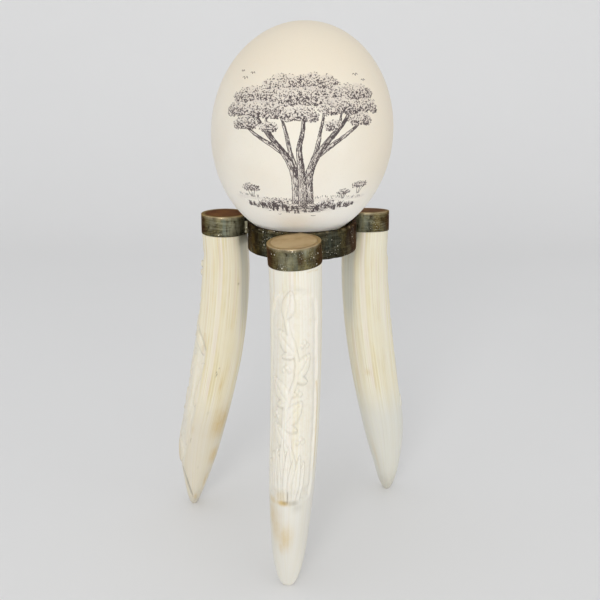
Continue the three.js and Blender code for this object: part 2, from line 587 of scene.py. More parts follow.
@dataclass(frozen=True)
class InkedShell:
    """Matt cream eggshell with fine pores, inked in dark sepia where the piece's drawing says so; painted
    shade makes its top and right side darker and warmer, and painted light makes its foot paler.
    """

    pale: Colour = tint(235, 228, 213)
    warm: Colour = tint(231, 223, 207)
    # painted shade: the darker, warmer colour laid on the egg's top and right side
    painted_shade_tone: Colour = tint(231, 219, 197)
    # painted light: the paler colour laid on the egg's foot, which faces down into the ring
    foot: Colour = tint(248, 244, 235)
    crown_from: float = 315 * MM
    crown_to: float = 375 * MM
    foot_from: float = 300 * MM
    foot_to: float = 245 * MM
    # where the painted shade on the right side starts and where it is full
    right_shade_from: float = 28 * MM
    right_shade_to: float = 66 * MM
    wash: Colour = tint(178, 165, 163)
    ink: Colour = tint(56, 42, 46)
    pore: Colour = tint(196, 176, 148)
    pores_per_metre: float = 620.0
    dots_per_metre: float = 950.0
    grain_per_metre: float = 900.0
    clouds_per_metre: float = 24.0
    pore_depth: float = 0.04 * MM
    roughness: float = 0.48
    glow: float = 0.1
    glow_parts: Triple = (1.0, 0.7, 0.45)
    glow_reach: float = 1.5 * MM
    shine: float = 0.35

    def make(self) -> Look:
        """Builds the material.

        Returns:
            The material.
        """
        r = Recipe("inked_shell")
        spot = r.place()
        ink, wash, _ = r.split(r.kept("drawing"))
        clouds = r.cloud(spot, self.clouds_per_metre, 3.0, 0.55)
        across, _, up = r.split(spot)
        pores = r.cells(spot, self.pores_per_metre).within(0.3, 0.02)
        dots = r.cells(spot, self.dots_per_metre).within(0.5, 0.16)
        line = ink.within(0.25, 0.6)
        base = r.coats(
            self.pale,
            (clouds.within(0.35, 0.7), self.warm),
            # painted shade on the right side and on the top, and painted light at the foot
            (across.within(self.right_shade_from, self.right_shade_to) * 0.7, self.painted_shade_tone),
            (up.within(self.crown_from, self.crown_to), self.painted_shade_tone),
            (up.within(self.foot_from, self.foot_to), self.foot),
            (pores * 0.12, self.pore),
            (wash * (dots * 0.45 + 0.35), self.wash),
            ((wash * dots).within(0.55, 1.0) * 0.3, self.ink),
            (line * 0.93, self.ink),
        )
        grain = r.cloud(spot, self.grain_per_metre, 2.0, 0.6)
        return r.done(
            Base_Color=base,
            Roughness=line * 0.12 + (clouds * 0.08 + self.roughness),
            Normal=r.bump(grain * 0.5 - pores, self.pore_depth),
            Subsurface_Weight=self.glow,
            Subsurface_Radius=self.glow_parts,
            Subsurface_Scale=self.glow_reach,
            Specular_IOR_Level=self.shine,
        )


@dataclass(frozen=True)
class Ivory:
    """Tusk with fine lengthwise lines, a polished tip darkened by a painted reflection, ochre and umber
    marks, grey painted shade and shadows, and a paler ground where it is carved.
    """

    name: str
    pale: Colour = tint(237, 234, 223)
    cream: Colour = tint(227, 218, 195)
    chalk: Colour = tint(234, 231, 221)
    # the polished tip's own tone, made greyer and darker as a painted reflection from below
    tip_polish_and_reflection: Colour = tint(214, 211, 202)
    rosy: Colour = tint(229, 215, 204)
    straw: Colour = tint(225, 213, 170)
    line: Colour = tint(204, 188, 150)
    # the grey of painted shade and painted shadows, and of the painted darker tips
    shade: Colour = tint(178, 172, 156)
    ochre: Colour = tint(206, 176, 108)
    umber: Colour = tint(104, 82, 50)
    # the inner groove's bluish grey: the band's own tone, with painted shade in the groove
    hollow_tone_and_shade: Colour = tint(160, 168, 164)
    lining: float = 1.0
    line_pitch: float = 1.25 * MM
    line_depth: float = 0.12 * MM
    dirt_per_metre: float = 300.0
    chisel_per_metre: float = 640.0
    broad_stretch: Triple = (60.0, 60.0, 22.0)
    roughness: float = 0.34
    glow: float = 0.1
    glow_parts: Triple = (1.0, 0.72, 0.45)
    glow_reach: float = 1.2 * MM
    polish_weight: float = 0.1
    polish_roughness: float = 0.25

    def make(self) -> Look:
        """Builds the material.

        Returns:
            The material.
        """
        r = Recipe(self.name)
        straight = r.kept("straight")
        cut, groove, smooth = r.split(r.kept("marks"))
        # ochre and umber marks on the ivory, and grey that is mostly painted shade
        ochre, umber, grey = r.split(r.kept("stains"))
        pitch = 1.0 / self.line_pitch
        strand = r.streaks(straight, (pitch, pitch, 5.0), 2.0, 0.6)
        hue = r.streaks(straight, (pitch * 0.6, pitch * 0.6, 8.0), 1.0, 0.5)
        fine = r.streaks(straight, (pitch * 1.9, pitch * 1.9, 11.0), 1.0, 0.5)
        broad = r.streaks(straight, self.broad_stretch, 3.0, 0.55)
        faded = (1.0 - smooth * 0.75) * broad.within(0.62, 0.42) * (0.65 * self.lining) + 0.3
        dirt = r.cloud(straight, self.dirt_per_metre, 2.0, 0.5)
        patchy = strand * 0.6 + (dirt * 0.5 + 0.45)
        chisel = r.cloud(straight, self.chisel_per_metre, 2.0, 0.55)
        base = r.coats(
            self.pale,
            (strand.within(0.43, 0.6) * faded, self.cream),
            (broad.within(0.45, 0.7) * 0.35, self.cream),
            (hue.within(0.52, 0.66) * (faded * 0.5), self.rosy),
            (hue.within(0.48, 0.34) * (faded * 0.55), self.straw),
            (fine.within(0.5, 0.7) * (faded * 0.35), self.line),
            # the tips: polished, with a painted darker reflection
            (smooth * 0.6, self.tip_polish_and_reflection),
            (cut * 0.45, self.chalk),
            (cut * (dirt.within(0.42, 0.75) * 0.16), self.line),
            ((ochre * patchy).within(0.02, 1.0) * 0.85, self.ochre),
            # grey: mostly painted shade in hollows and under forms, painted shadows and the painted darker
            # tips
            ((grey * patchy).within(0.02, 1.0) * 0.85, self.shade),
            ((umber * patchy).within(0.1, 0.95) * 0.9, self.umber),
            # the groove: its own bluish-grey tone, with painted shade
            (groove * (strand * 0.4 + 0.16), self.hollow_tone_and_shade),
        )
        return r.done(
            Base_Color=base,
            Roughness=cut * 0.2 + (broad * 0.12 + self.roughness) - smooth * 0.08,
            Normal=r.bump(fine * -0.35 + strand * 0.35 + cut * (chisel * 0.8), self.line_depth),
            Subsurface_Weight=self.glow,
            Subsurface_Radius=self.glow_parts,
            Subsurface_Scale=self.glow_reach,
            Coat_Weight=self.polish_weight,
            Coat_Roughness=self.polish_roughness,
        )


@dataclass(frozen=True)
class AgedBrass:
    """Old brass: brown and olive patches, grey-blue bloom, pale streaks and pits, and rubbed edges; its
    placed patches are painted light: brown ends as a painted reflection of a darker room, cool patches as the
    lamp's painted reflection, pale streaks as painted highlights.
    """

    name: str
    dark: Colour
    mid: Colour
    light: Colour
    # brown: patina, and at the bands' ends a painted reflection of a darker room
    brown: Colour = tint(62, 42, 24)
    # bloom: grey-blue bloom, and the lamp's painted reflection where the cool patches lie
    bloom: Colour = tint(92, 104, 96)
    # pale: painted highlights, and the lighter turning marks
    pale: Colour = tint(170, 168, 142)
    # rubbed: rubbed edges, with a painted highlight along them
    rubbed: Colour = tint(208, 188, 152)
    pit: Colour = tint(238, 232, 214)
    # table: the tan of a band's top, partly a painted reflection
    table: Colour = tint(177, 155, 122)
    glance: Colour = tint(168, 146, 104)
    bloom_share: float = 0.6
    pits_from: float = 0.5
    turned: float = 0.1
    metal: float = 0.88
    pitting: float = 0.2 * MM
    blobs_per_metre: float = 170.0
    grain_per_metre: float = 750.0
    spots_per_metre: float = 190.0
    large_pits_per_metre: float = 330.0
    small_pits_per_metre: float = 700.0
    patch_stretch: Triple = (90.0, 90.0, 40.0)
    drift_stretch: Triple = (70.0, 70.0, 30.0)
    streak_stretch: Triple = (430.0, 430.0, 60.0)
    turning_stretch: Triple = (110.0, 110.0, 1500.0)

    def make(self) -> Look:
        """Builds the material.

        Returns:
            The material.
        """
        r = Recipe(self.name)
        spot = r.place()
        # rubbed edges with a painted highlight; the top's tan, partly a painted reflection
        rub_and_highlight, top, flat = r.split(r.kept("wear"))
        # placed patches: brown patina with a painted reflection of a darker room, the lamp's painted
        # reflection, and painted highlights
        brown, cool, bright = r.split(r.kept("skin"))
        blobs = r.cloud(spot, self.blobs_per_metre, 4.0, 0.62, 0.5)
        patch = r.streaks(spot, self.patch_stretch, 2.0, 0.5, 0.6)
        fine = r.cloud(spot, self.grain_per_metre, 3.0, 0.65)
        streaks = r.streaks(spot, self.streak_stretch, 3.0, 0.6)
        tone = blobs * 0.42 + patch * 0.33 + fine * 0.25
        stops = [(0.41, self.dark), (0.5, self.mid), (0.59, self.light)]
        old = r.node("ShaderNodeValToRGB", {"stops": stops}, {0: tone})
        misty = streaks.within(0.3, 0.6)
        drift = r.streaks(spot, self.drift_stretch, 3.0, 0.6, 0.8).within(0.52, 0.64)
        turning = r.streaks(spot, self.turning_stretch, 2.0, 0.5)
        spots = r.cells(spot, self.spots_per_metre).within(0.34, 0.12) * blobs.within(0.55, 0.42)
        scattered = r.cloud(spot, 70.0).within(self.pits_from, self.pits_from + 0.1)
        small = r.cells(spot, self.small_pits_per_metre).within(0.22, 0.1) * (scattered * 0.7)
        large = r.cells(spot, self.large_pits_per_metre).within(0.2, 0.1) * scattered
        pits = large.largest(small)
        base = r.coats(
            old,
            ((drift * self.bloom_share).largest(cool) * (misty * 0.8 + 0.1), self.bloom),
            (bright * (streaks.within(0.36, 0.58) * 0.6 + 0.3), self.pale),
            (brown * (fine * 0.5 + 0.55), self.brown),
            (turning.within(0.48, 0.66) * self.turned, self.pale),
            (turning.within(0.46, 0.34) * self.turned, self.dark),
            (spots * 0.8, self.dark),
            (pits, self.pit),
            # the top: tan, partly a painted reflection
            (top, self.table),
            (rub_and_highlight, self.rubbed),
        )
        dull = drift.largest(pits)
        return r.done(
            Base_Color=base,
            Metallic=self.metal - dull * 0.3 + rub_and_highlight * 0.2 - flat * 0.1,
            Roughness=fine * 0.3 + (dull * 0.2 + 0.22) - rub_and_highlight * 0.08,
            Normal=r.bump(blobs * 0.8 + fine * 0.5 + pits * 0.4, self.pitting),
            Specular_IOR_Level=0.5,
            Specular_Tint=self.glance,
        )


@dataclass(frozen=True)
class RubbedPlate:
    """Flat brass plate, rubbed to a satin tan with faint scratches; its colours are partly a painted
    reflection of the room.
    """

    name: str
    brown: Colour
    tan: Colour
    bright: Colour = tint(216, 192, 148)
    glance: Colour = tint(170, 150, 112)
    metal: float = 0.45
    scratch_depth: float = 0.02 * MM
    blobs_per_metre: float = 55.0
    scratch_stretch: Triple = (1400.0, 120.0, 120.0)

    def make(self) -> Look:
        """Builds the material.

        Returns:
            The material.
        """
        r = Recipe(self.name)
        spot = r.place()
        rub_and_highlight, _, _ = r.split(r.kept("wear"))
        blobs = r.cloud(spot, self.blobs_per_metre, 3.0, 0.55)
        scratch = r.streaks(spot, self.scratch_stretch, 2.0, 0.6)
        base = r.coats(
            self.tan,
            (blobs.within(0.35, 0.68), self.brown),
            (scratch.within(0.55, 0.8) * 0.18, self.bright),
            # the edge: rubbed a little brighter, with a faint painted highlight
            (rub_and_highlight, self.bright),
        )
        return r.done(
            Base_Color=base,
            Metallic=self.metal,
            Roughness=scratch * 0.1 + (blobs * 0.12 + 0.34),
            Normal=r.bump(scratch, self.scratch_depth),
            Specular_Tint=self.glance,
        )


@dataclass(frozen=True)
class FloorPaint:
    """Plain pale floor."""

    colour: Colour = tint(232, 231, 229)
    darker: Colour = tint(206, 205, 202)
    roughness: float = 0.6

    def make(self) -> Look:
        """Builds the material.

        Returns:
            The material.
        """
        r = Recipe("floor_paint")
        grain = r.cloud(r.place(), 5.0, 2.0)
        return r.done(Base_Color=r.mix(grain * 0.08, self.colour, self.darker), Roughness=self.roughness)


# --- The drawing on the egg ---


@dataclass
class Sheet:
    """A flat sheet of ink, in millimetres across and up from the middle of the egg's front."""

    half_width: float = 66.0
    half_height: float = 56.0
    cell: float = 0.1
    soft: float = 0.16
    ink: Array = field(init=False)
    wash: Array = field(init=False)

    def __post_init__(self) -> None:
        """Starts blank."""
        rows = int(2 * self.half_height / self.cell)
        columns = int(2 * self.half_width / self.cell)
        self.ink = np.zeros((rows, columns), np.float32)
        self.wash = np.zeros((rows, columns), np.float32)

    def window(self, low: Array, high: Array) -> tuple[slice, slice, Array, Array]:
        """Gives the cells in a box.

        Args:
            low: The box's lower left corner.
            high: Its upper right corner.

        Returns:
            The slices of rows and columns, and the places across and up of those cells.
        """
        shape = self.ink.shape
        left = max(int((low[0] + self.half_width) / self.cell), 0)
        right = min(int((high[0] + self.half_width) / self.cell) + 1, shape[1])
        bottom = max(int((low[1] + self.half_height) / self.cell), 0)
        top = min(int((high[1] + self.half_height) / self.cell) + 1, shape[0])
        across = (np.arange(left, max(right, left)) + 0.5) * self.cell - self.half_width
        up = (np.arange(bottom, max(top, bottom)) + 0.5) * self.cell - self.half_height
        grid = np.meshgrid(across, up)
        return slice(bottom, max(top, bottom)), slice(left, max(right, left)), grid[0], grid[1]

    def stroke(self, route: Sequence[Sequence[float]], start: float, end: float, dark: float = 1.0) -> None:
        """Draws a pen stroke.

        Args:
            route: The points that it passes, at least two.
            start: Its width at the first point.
            end: Its width at the last point.
            dark: How dark it is, 0 to 1.
        """
        points = np.asarray(route, float)
        last = len(points) - 1
        for k in range(last):
            a, b = points[k], points[k + 1]
            first = start + (end - start) * k / last
            second = start + (end - start) * (k + 1) / last
            reach = max(first, second) / 2 + self.soft
            rows, columns, across, up = self.window(np.minimum(a, b) - reach, np.maximum(a, b) + reach)
            if not across.size:
                continue
            run = b - a
            length = max(float(run @ run), 1e-9)
            share = np.clip(((across - a[0]) * run[0] + (up - a[1]) * run[1]) / length, 0, 1)
            gap = np.hypot(across - a[0] - share * run[0], up - a[1] - share * run[1])
            half = (first + (second - first) * share) / 2
            cover = np.clip((half - gap) / self.soft + 0.5, 0, 1) * dark
            self.ink[rows, columns] = np.maximum(self.ink[rows, columns], cover)

    def blank(self, middle: Sequence[float], radii: Sequence[float]) -> None:
        """Wipes the ink from an ellipse, so that what is drawn next stands in front.

        Args:
            middle: The ellipse's middle.
            radii: Its half width and half height.
        """
        low = np.subtract(middle, radii)
        rows, columns, across, up = self.window(low, np.add(middle, radii))
        inside = ((across - middle[0]) / radii[0]) ** 2 + ((up - middle[1]) / radii[1]) ** 2 < 1
        self.ink[rows, columns] = np.where(inside, 0, self.ink[rows, columns])

    def tone(self, middle: Sequence[float], radii: Sequence[float], strength: float) -> None:
        """Lays a soft wash over an ellipse.

        Args:
            middle: The ellipse's middle.
            radii: Its half width and half height.
            strength: How dark it is, 0 to 1.
        """
        low = np.subtract(middle, np.multiply(radii, 1.3))
        rows, columns, across, up = self.window(low, np.add(middle, np.multiply(radii, 1.3)))
        away = np.hypot((across - middle[0]) / radii[0], (up - middle[1]) / radii[1])
        cover = ease(1.25 - away, 0.0, 0.6) * strength
        self.wash[rows, columns] = np.maximum(self.wash[rows, columns], cover)

    def read(self, layer: Array, across: Array, up: Array) -> Array:
        """Reads a layer between its cells.

        Args:
            layer: The ink or the wash.
            across: Places across.
            up: Places up.

        Returns:
            The layer's values there, and 0 off the sheet.
        """
        column = (across + self.half_width) / self.cell - 0.5
        row = (up + self.half_height) / self.cell - 0.5
        inside = (column > 0) & (row > 0) & (column < layer.shape[1] - 2) & (row < layer.shape[0] - 2)
        column = np.where(inside, column, 0)
        row = np.where(inside, row, 0)
        j, i = column.astype(int), row.astype(int)
        x, y = column - j, row - i
        low = layer[i, j] * (1 - x) + layer[i, j + 1] * x
        high = layer[i + 1, j] * (1 - x) + layer[i + 1, j + 1] * x
        return np.where(inside, low * (1 - y) + high * y, 0)


@dataclass
class Limb:
    """One limb of the drawn tree: the points that it passes, and its width at its root and tip."""

    route: list[Pair]
    width: float
    tip_width: float


@dataclass
class Shelf:
    """One flat shelf of leaves: its middle, its half width, its half height and its clumps' half width."""

    across: float
    up: float
    wide: float
    high: float
    clump: float


@dataclass
class SavannaDrawing:
    """A pen drawing of an umbrella tree over long grass, with far trees behind it and birds above."""

    seed: int = 7
    root_lines: int = 9
    skyline_lines: int = 150
    ground_lines: int = 80
    tufts: int = 75
    sheet: Sheet = field(init=False)
    dice: random.Random = field(init=False)
    back_shelves: tuple[Shelf, ...] = (
        Shelf(0, 41.5, 32, 4.6, 5.0),
        Shelf(-36, 33, 21, 4.2, 4.8),
        Shelf(37, 35, 20, 4.2, 4.8),
        Shelf(2, 33, 27, 4.8, 5.0),
        Shelf(-48, 24, 11.5, 3.6, 4.2),
        Shelf(50, 26, 10.5, 3.6, 4.2),
    )
    front_shelves: tuple[Shelf, ...] = (
        Shelf(-27, 24.5, 20, 4.2, 4.8),
        Shelf(28, 26.5, 19, 4.2, 4.8),
        Shelf(-2, 22.5, 14, 3.8, 4.4),
        Shelf(-41, 15.5, 10.5, 3.2, 3.9),
        Shelf(42, 17.5, 10, 3.2, 3.9),
        Shelf(-23, 13.5, 7, 2.4, 3.4),
        Shelf(21, 14.5, 6.5, 2.4, 3.4),
    )
    far_limbs: tuple[Limb, ...] = (
        Limb([(-9, -6), (-20, 1), (-33, 8), (-45, 16)], 3.4, 1.1),
        Limb([(9, -6), (21, 2), (34, 10), (46, 18)], 3.4, 1.1),
        Limb([(-4, -16), (-8, -3), (-11, 10), (-15, 22)], 3.4, 1.3),
        Limb([(4, -17), (9, -3), (12, 10), (15, 23)], 3.4, 1.3),
        Limb([(-20, 6), (-24, 12), (-25, 20)], 2.2, 1.0),
        Limb([(20, 6), (25, 13), (27, 22)], 2.2, 1.0),
    )
    main_limbs: tuple[Limb, ...] = (
        Limb([(-4.2, -39), (-4, -29), (-5.4, -18), (-10, -7), (-19, 4), (-28, 14), (-35, 23)], 7.4, 1.8),
        Limb([(5.2, -39), (4.4, -28), (4.8, -18), (9, -7), (18, 5), (28, 15), (36, 25)], 7.4, 1.8),
        Limb([(0.6, -41), (0.2, -27), (-0.8, -14), (-2, -1), (0.4, 12), (0.5, 26)], 7.0, 1.6),
    )
    far_trees: tuple[Triple, ...] = ((-41, -31, 8.5), (33, -33, 6.0), (47, -29.5, 8.0))
    bushes: tuple[Triple, ...] = ((-19, -38, 7.5), (20, -38.5, 6.5), (-31, -39, 4.5))
    birds: tuple[Triple, ...] = (
        (-50, 42, 3.0),
        (-43.5, 45.5, 2.3),
        (-56, 46.5, 2.0),
        (45, 44.5, 2.6),
        (51.5, 41, 2.0),
    )

    def draw(self) -> Sheet:
        """Draws the whole picture.

        Returns:
            The inked sheet.
        """
        self.sheet = Sheet()
        self.dice = random.Random(self.seed)
        self.far_land()
        self.flock()
        for shelf in self.back_shelves:
            self.shelf(shelf)
        for limb in self.far_limbs + self.main_limbs:
            self.bark(limb)
        self.roots()
        for shelf in self.front_shelves:
            self.shelf(shelf)
        self.grass()
        return self.sheet

    def shelf(self, shelf: Shelf) -> None:
        """Draws a shelf of leaves as three rows of clumps, the upper and paler ones behind.

        Args:
            shelf: The shelf.
        """
        for row, (rise, reach) in enumerate(((0.6, 0.7), (-0.05, 0.95), (-0.75, 0.84))):
            count = max(int(2.3 * shelf.wide * reach / shelf.clump), 2)
            for k in self.dice.sample(range(count), count):
                share = -1 + 2 * (k + 0.5) / count + self.dice.uniform(-0.06, 0.06)
                across = shelf.across + share * reach * (shelf.wide - shelf.clump * 0.5)
                arch = shelf.high * (rise - 0.35 * share * share)
                up = shelf.up + arch + self.dice.uniform(-0.6, 0.6)
                size = shelf.clump * self.dice.uniform(0.7, 1.12)
                shade = 0.12 + row * 0.36 + 0.1 * share + self.dice.uniform(-0.1, 0.1)
                self.clump((across, up), size, min(max(shade, 0.0), 1.0))

    def clump(self, middle: Pair, wide: float, shade: float) -> None:
        """Draws one clump of leaves, light on its upper left and dark underneath.

        Args:
            middle: Its middle.
            wide: Its half width.
            shade: How dark it is, 0 to 1.
        """
        high = wide * 0.54
        self.sheet.blank(middle, (wide * 0.96, high * 0.96))
        self.sheet.tone(middle, (wide, high), 0.5 + 0.5 * shade)
        for _ in range(int(wide * wide * (1.5 + 1.5 * shade))):
            turn = self.dice.uniform(0, math.tau)
            away = math.sqrt(self.dice.uniform(0, 1))
            x, y = math.cos(turn) * away, math.sin(turn) * away
            light = (y - 0.35 * x + 1.2) / 2.4
            if self.dice.random() < light * (1.0 - 0.6 * shade):
                continue
            spot = np.array((middle[0] + x * wide, middle[1] + y * high))
            lean = self.dice.uniform(0, math.tau)
            size = self.dice.uniform(0.3, 0.75)
            bend = lean + self.dice.uniform(0.7, 1.6)
            knee = spot + (size * math.cos(lean), size * math.sin(lean) * 0.8)
            end = knee + (size * math.cos(bend), size * math.sin(bend) * 0.8)
            weight = 0.34 + 0.16 * shade - 0.1 * light
            self.sheet.stroke([spot, knee, end], weight, weight * 0.7)
        count = int(wide * 2.2)
        for k in range(count):
            turn = math.tau * (k + self.dice.random()) / count
            under = math.sin(turn) < 0
            if self.dice.random() < (0.25 if under else 0.45):
                continue
            edge = np.array((middle[0] + math.cos(turn) * wide, middle[1] + math.sin(turn) * high))
            lean = turn + math.pi / 2
            half = np.array((math.cos(lean), math.sin(lean) * 0.6)) * self.dice.uniform(0.4, 0.7)
            out = np.array((math.cos(turn), math.sin(turn))) * 0.3
            self.sheet.stroke([edge - half, edge + out, edge + half], 0.44 if under else 0.28, 0.28)

    def bark(self, limb: Limb) -> None:
        """Draws one limb with lengthwise lines, closer together on its shaded right.

        Args:
            limb: The limb.
        """
        route = self.smooth(np.array(limb.route, float), 9)
        run = np.gradient(route, axis=0)
        run /= np.linalg.norm(run, axis=1)[:, None]
        side = np.stack([run[:, 1], -run[:, 0]], 1)
        half = (limb.tip_width + (limb.width - limb.tip_width) * np.linspace(1, 0, len(route)) ** 1.3) / 2
        for point, reach in zip(route, half):
            self.sheet.blank(point, (reach, reach))
            self.sheet.tone(point, (reach * 1.1, reach * 1.1), 0.9)
        count = max(int(limb.width * 1.5), 4)
        for k in range(count + 1):
            share = -1 + 2 * (k / count) ** 0.72
            edge = k in (0, count)
            line = route + side * (half * share)[:, None]
            line += np.array([[self.dice.gauss(0, 0.1), self.dice.gauss(0, 0.1)] for _ in line])
            start = 0
            while start < len(line) - 2:
                length = len(line) if edge else self.dice.randint(3, 9)
                stop = min(start + length, len(line))
                self.sheet.stroke(line[start:stop], 0.44 if edge else 0.34, 0.4 if edge else 0.22)
                start = stop + (0 if edge else self.dice.randint(0, 3) * (k * 3 < count * 2))
        for _ in range(int(limb.width * 4)):
            k = self.dice.randrange(len(route) - 1)
            share = self.dice.uniform(0.3, 0.85)
            spot = route[k] + side[k] * half[k] * share
            tick = side[k] * self.dice.uniform(0.4, 0.9) + (0, self.dice.uniform(-0.3, 0.3))
            self.sheet.stroke([spot, spot + tick], 0.34, 0.24)

    @staticmethod
    def smooth(points: Array, steps: int) -> Array:
        """Runs a smooth curve through a few points.

        Args:
            points: The points, one row each.
            steps: How many pieces each stretch is cut into.

        Returns:
            The curve's points.
        """
        ends = np.vstack([2 * points[0] - points[1], points, 2 * points[-1] - points[-2]])
        share = (np.arange(steps) / steps)[:, None]
        curve = []
        for a, b, c, d in zip(ends, ends[1:], ends[2:], ends[3:]):
            square = (2 * a - 5 * b + 4 * c - d) * share**2
            cube = (3 * (b - c) + d - a) * share**3
            curve.append(0.5 * (2 * b + (c - a) * share + square + cube))
        return np.vstack([*curve, points[-1:]])

    def roots(self) -> None:
        """Draws the trunk's flare into the ground."""
        for share in np.linspace(-1, 1, self.root_lines):
            start = (0.5 + share * 5.4, -35.5 - self.dice.uniform(0, 1.5))
            foot = (0.5 + share * 13, -41 - self.dice.uniform(0, 1.8) + abs(share))
            bend = (0.5 + share * 7.4, -38.6)
            self.sheet.stroke(self.smooth(np.array([start, bend, foot]), 4), 0.36, 0.2)

    def far_land(self) -> None:
        """Draws small far trees and the skyline behind the trunk."""
        for x, y, size in self.far_trees:
            for share in (-0.35, 0.1, 0.45):
                stem = [(x + share * size * 0.3, y - size * 0.55), (x + share * size, y + size * 0.1)]
                self.sheet.stroke(stem, 0.5, 0.34)
            self.shelf(Shelf(x, y + size * 0.3, size, size * 0.16, size * 0.34))
        for _ in range(self.skyline_lines):
            x = self.dice.uniform(-54, 54)
            y = -35.5 + 1.2 * math.sin(x * 0.09) + self.dice.uniform(-0.9, 0.5)
            top = (x + self.dice.uniform(-0.3, 0.5), y + self.dice.uniform(0.5, 1.5))
            self.sheet.stroke([(x, y), top], 0.32, 0.24, 0.85)
        for x in range(-50, 51, 10):
            self.sheet.tone((x, -36.5), (8, 1.5), 0.4)

    def flock(self) -> None:
        """Draws a few far birds on the wing."""
        for x, y, size in self.birds:
            left = [(x - size, y + size * 0.3), (x - size * 0.45, y + size * 0.5), (x, y)]
            right = [(x, y), (x + size * 0.5, y + size * 0.55), (x + size, y + size * 0.2)]
            for wing in (left, right):
                self.sheet.stroke(self.smooth(np.array(wing), 4), 0.36, 0.4)

    def grass(self) -> None:
        """Draws the ground's shadow and tufts of long grass along it."""
        for _ in range(self.ground_lines):
            x = self.dice.gauss(0, 24)
            y = -41 - abs(self.dice.gauss(0, 2.6)) + abs(x) * 0.03
            reach = self.dice.uniform(1.0, 4)
            if abs(x) + reach < 50:
                end = (x + reach, y + self.dice.uniform(-0.3, 0.3))
                self.sheet.stroke([(x - reach, y), (x, y - 0.25), end], 0.3, 0.26)
        self.sheet.tone((0, -43), (38, 3.6), 0.55)
        self.sheet.tone((0, -41), (50, 2.2), 0.5)
        for x, y, size in self.bushes:
            self.shelf(Shelf(x, y, size, size * 0.3, size * 0.5))
        for _ in range(self.tufts):
            root = self.dice.uniform(-50, 50)
            if abs(root) < 12 and self.dice.random() < 0.65:
                continue
            floor = -41.5 - self.dice.uniform(0, 6) * (1 - abs(root) / 60)
            tall = self.dice.uniform(2.6, 7.5) * (1.1 - abs(root) / 90)
            for _ in range(self.dice.randint(4, 8)):
                lean = self.dice.gauss(0, 0.36)
                high = tall * self.dice.uniform(0.5, 1.0)
                x = root + self.dice.uniform(-1.3, 1.3)
                knee = (x + lean * high * 0.35, floor + high * 0.6)
                top = (x + lean * high * 1.1, floor + high)
                self.sheet.stroke(self.smooth(np.array([(x, floor), knee, top]), 3), 0.36, 0.2)


# --- The egg ---


@dataclass
class Egg:
    """The ostrich egg, shaped on its solid, with a fine mesh under the drawing."""

    node: Thing
    segments: int = 96
    rings: int = 64
    cuts: int = 12
    drawing_rise: float = -2.0

    def measure(self) -> None:
        """Reads the egg's middle, its axis and its half sizes from its solid."""
        points = points_of(self.node)
        self.middle, axis = axis_of(points, 2)
        along = (points - self.middle) @ axis
        self.half_height = float(np.abs(along).max())
        self.half_width = float(np.linalg.norm(points - self.middle - along[:, None] * axis, axis=1).max())
        self.axis = Vector(axis)

    def sheet_places(self, points: Array) -> tuple[Array, Array]:
        """Finds where points of the egg lie on the drawing's sheet.

        Args:
            points: Points about the egg's middle, in metres.

        Returns:
            The places across and up, in millimetres; far off the sheet behind the egg.
        """
        turn = np.arctan2(points[:, 0], -points[:, 1])
        across = turn * self.half_width / MM
        return np.where(np.abs(turn) < math.pi / 2, across, 1e3), points[:, 2] / MM - self.drawing_rise

    def build(self, look: Look) -> None:
        """Models, draws on and dresses the egg.

        Args:
            look: The egg's material.
        """
        self.measure()
        sheet = SavannaDrawing().draw()
        Bench.clear()
        bpy.ops.mesh.primitive_uv_sphere_add(segments=self.segments, ring_count=self.rings, radius=1)
        egg = bpy.context.object
        egg.scale = (self.half_width, self.half_width, self.half_height)
        Bench.settle(egg)
        lean = Vector((0, 0, 1)).rotation_difference(self.axis).to_matrix()

        face = max(self.half_width * 2 / self.segments, self.half_height / self.rings) * math.pi
        busy = self.spread(sheet.ink, int(face / 2 / MM / sheet.cell))
        Bench.edit(egg)
        mesh = bmesh.from_edit_mesh(egg.data)
        centres = np.array([lean @ face.calc_center_median() for face in mesh.faces])
        covered = sheet.read(busy, *self.sheet_places(centres)) > 0
        Bench.pick(egg, Part.FACES, lambda face: covered[face.index])
        bpy.ops.mesh.subdivide(number_cuts=self.cuts)
        bpy.ops.object.mode_set(mode="OBJECT")

        points = points_of(egg)
        sizes = np.array((self.half_width, self.half_width, self.half_height))
        points /= np.linalg.norm(points / sizes, axis=1)[:, None]
        points = points @ np.array(lean).T
        places = self.sheet_places(points)
        move_points(egg, points + self.middle)
        store(egg, "drawing", sheet.read(sheet.ink, *places), sheet.read(sheet.wash, *places))
        bpy.ops.object.shade_smooth()
        Bench.finish(egg, "inked_egg", Slot.EGGSHELL, look, "egg")

    @staticmethod
    def spread(layer: Array, cells: int) -> Array:
        """Widens what is inked by a number of cells, in steps of doubling reach.

        Args:
            layer: The ink.
            cells: How far it spreads.

        Returns:
            The wider layer.
        """
        wide = layer.copy()
        step = 1
        left = cells
        while left > 0:
            step = min(step, left)
            for axis in (0, 1):
                wide = np.maximum(wide, np.maximum(np.roll(wide, step, axis), np.roll(wide, -step, axis)))
            left -= step
            step *= 2
        return wide


# --- The brass holder ---


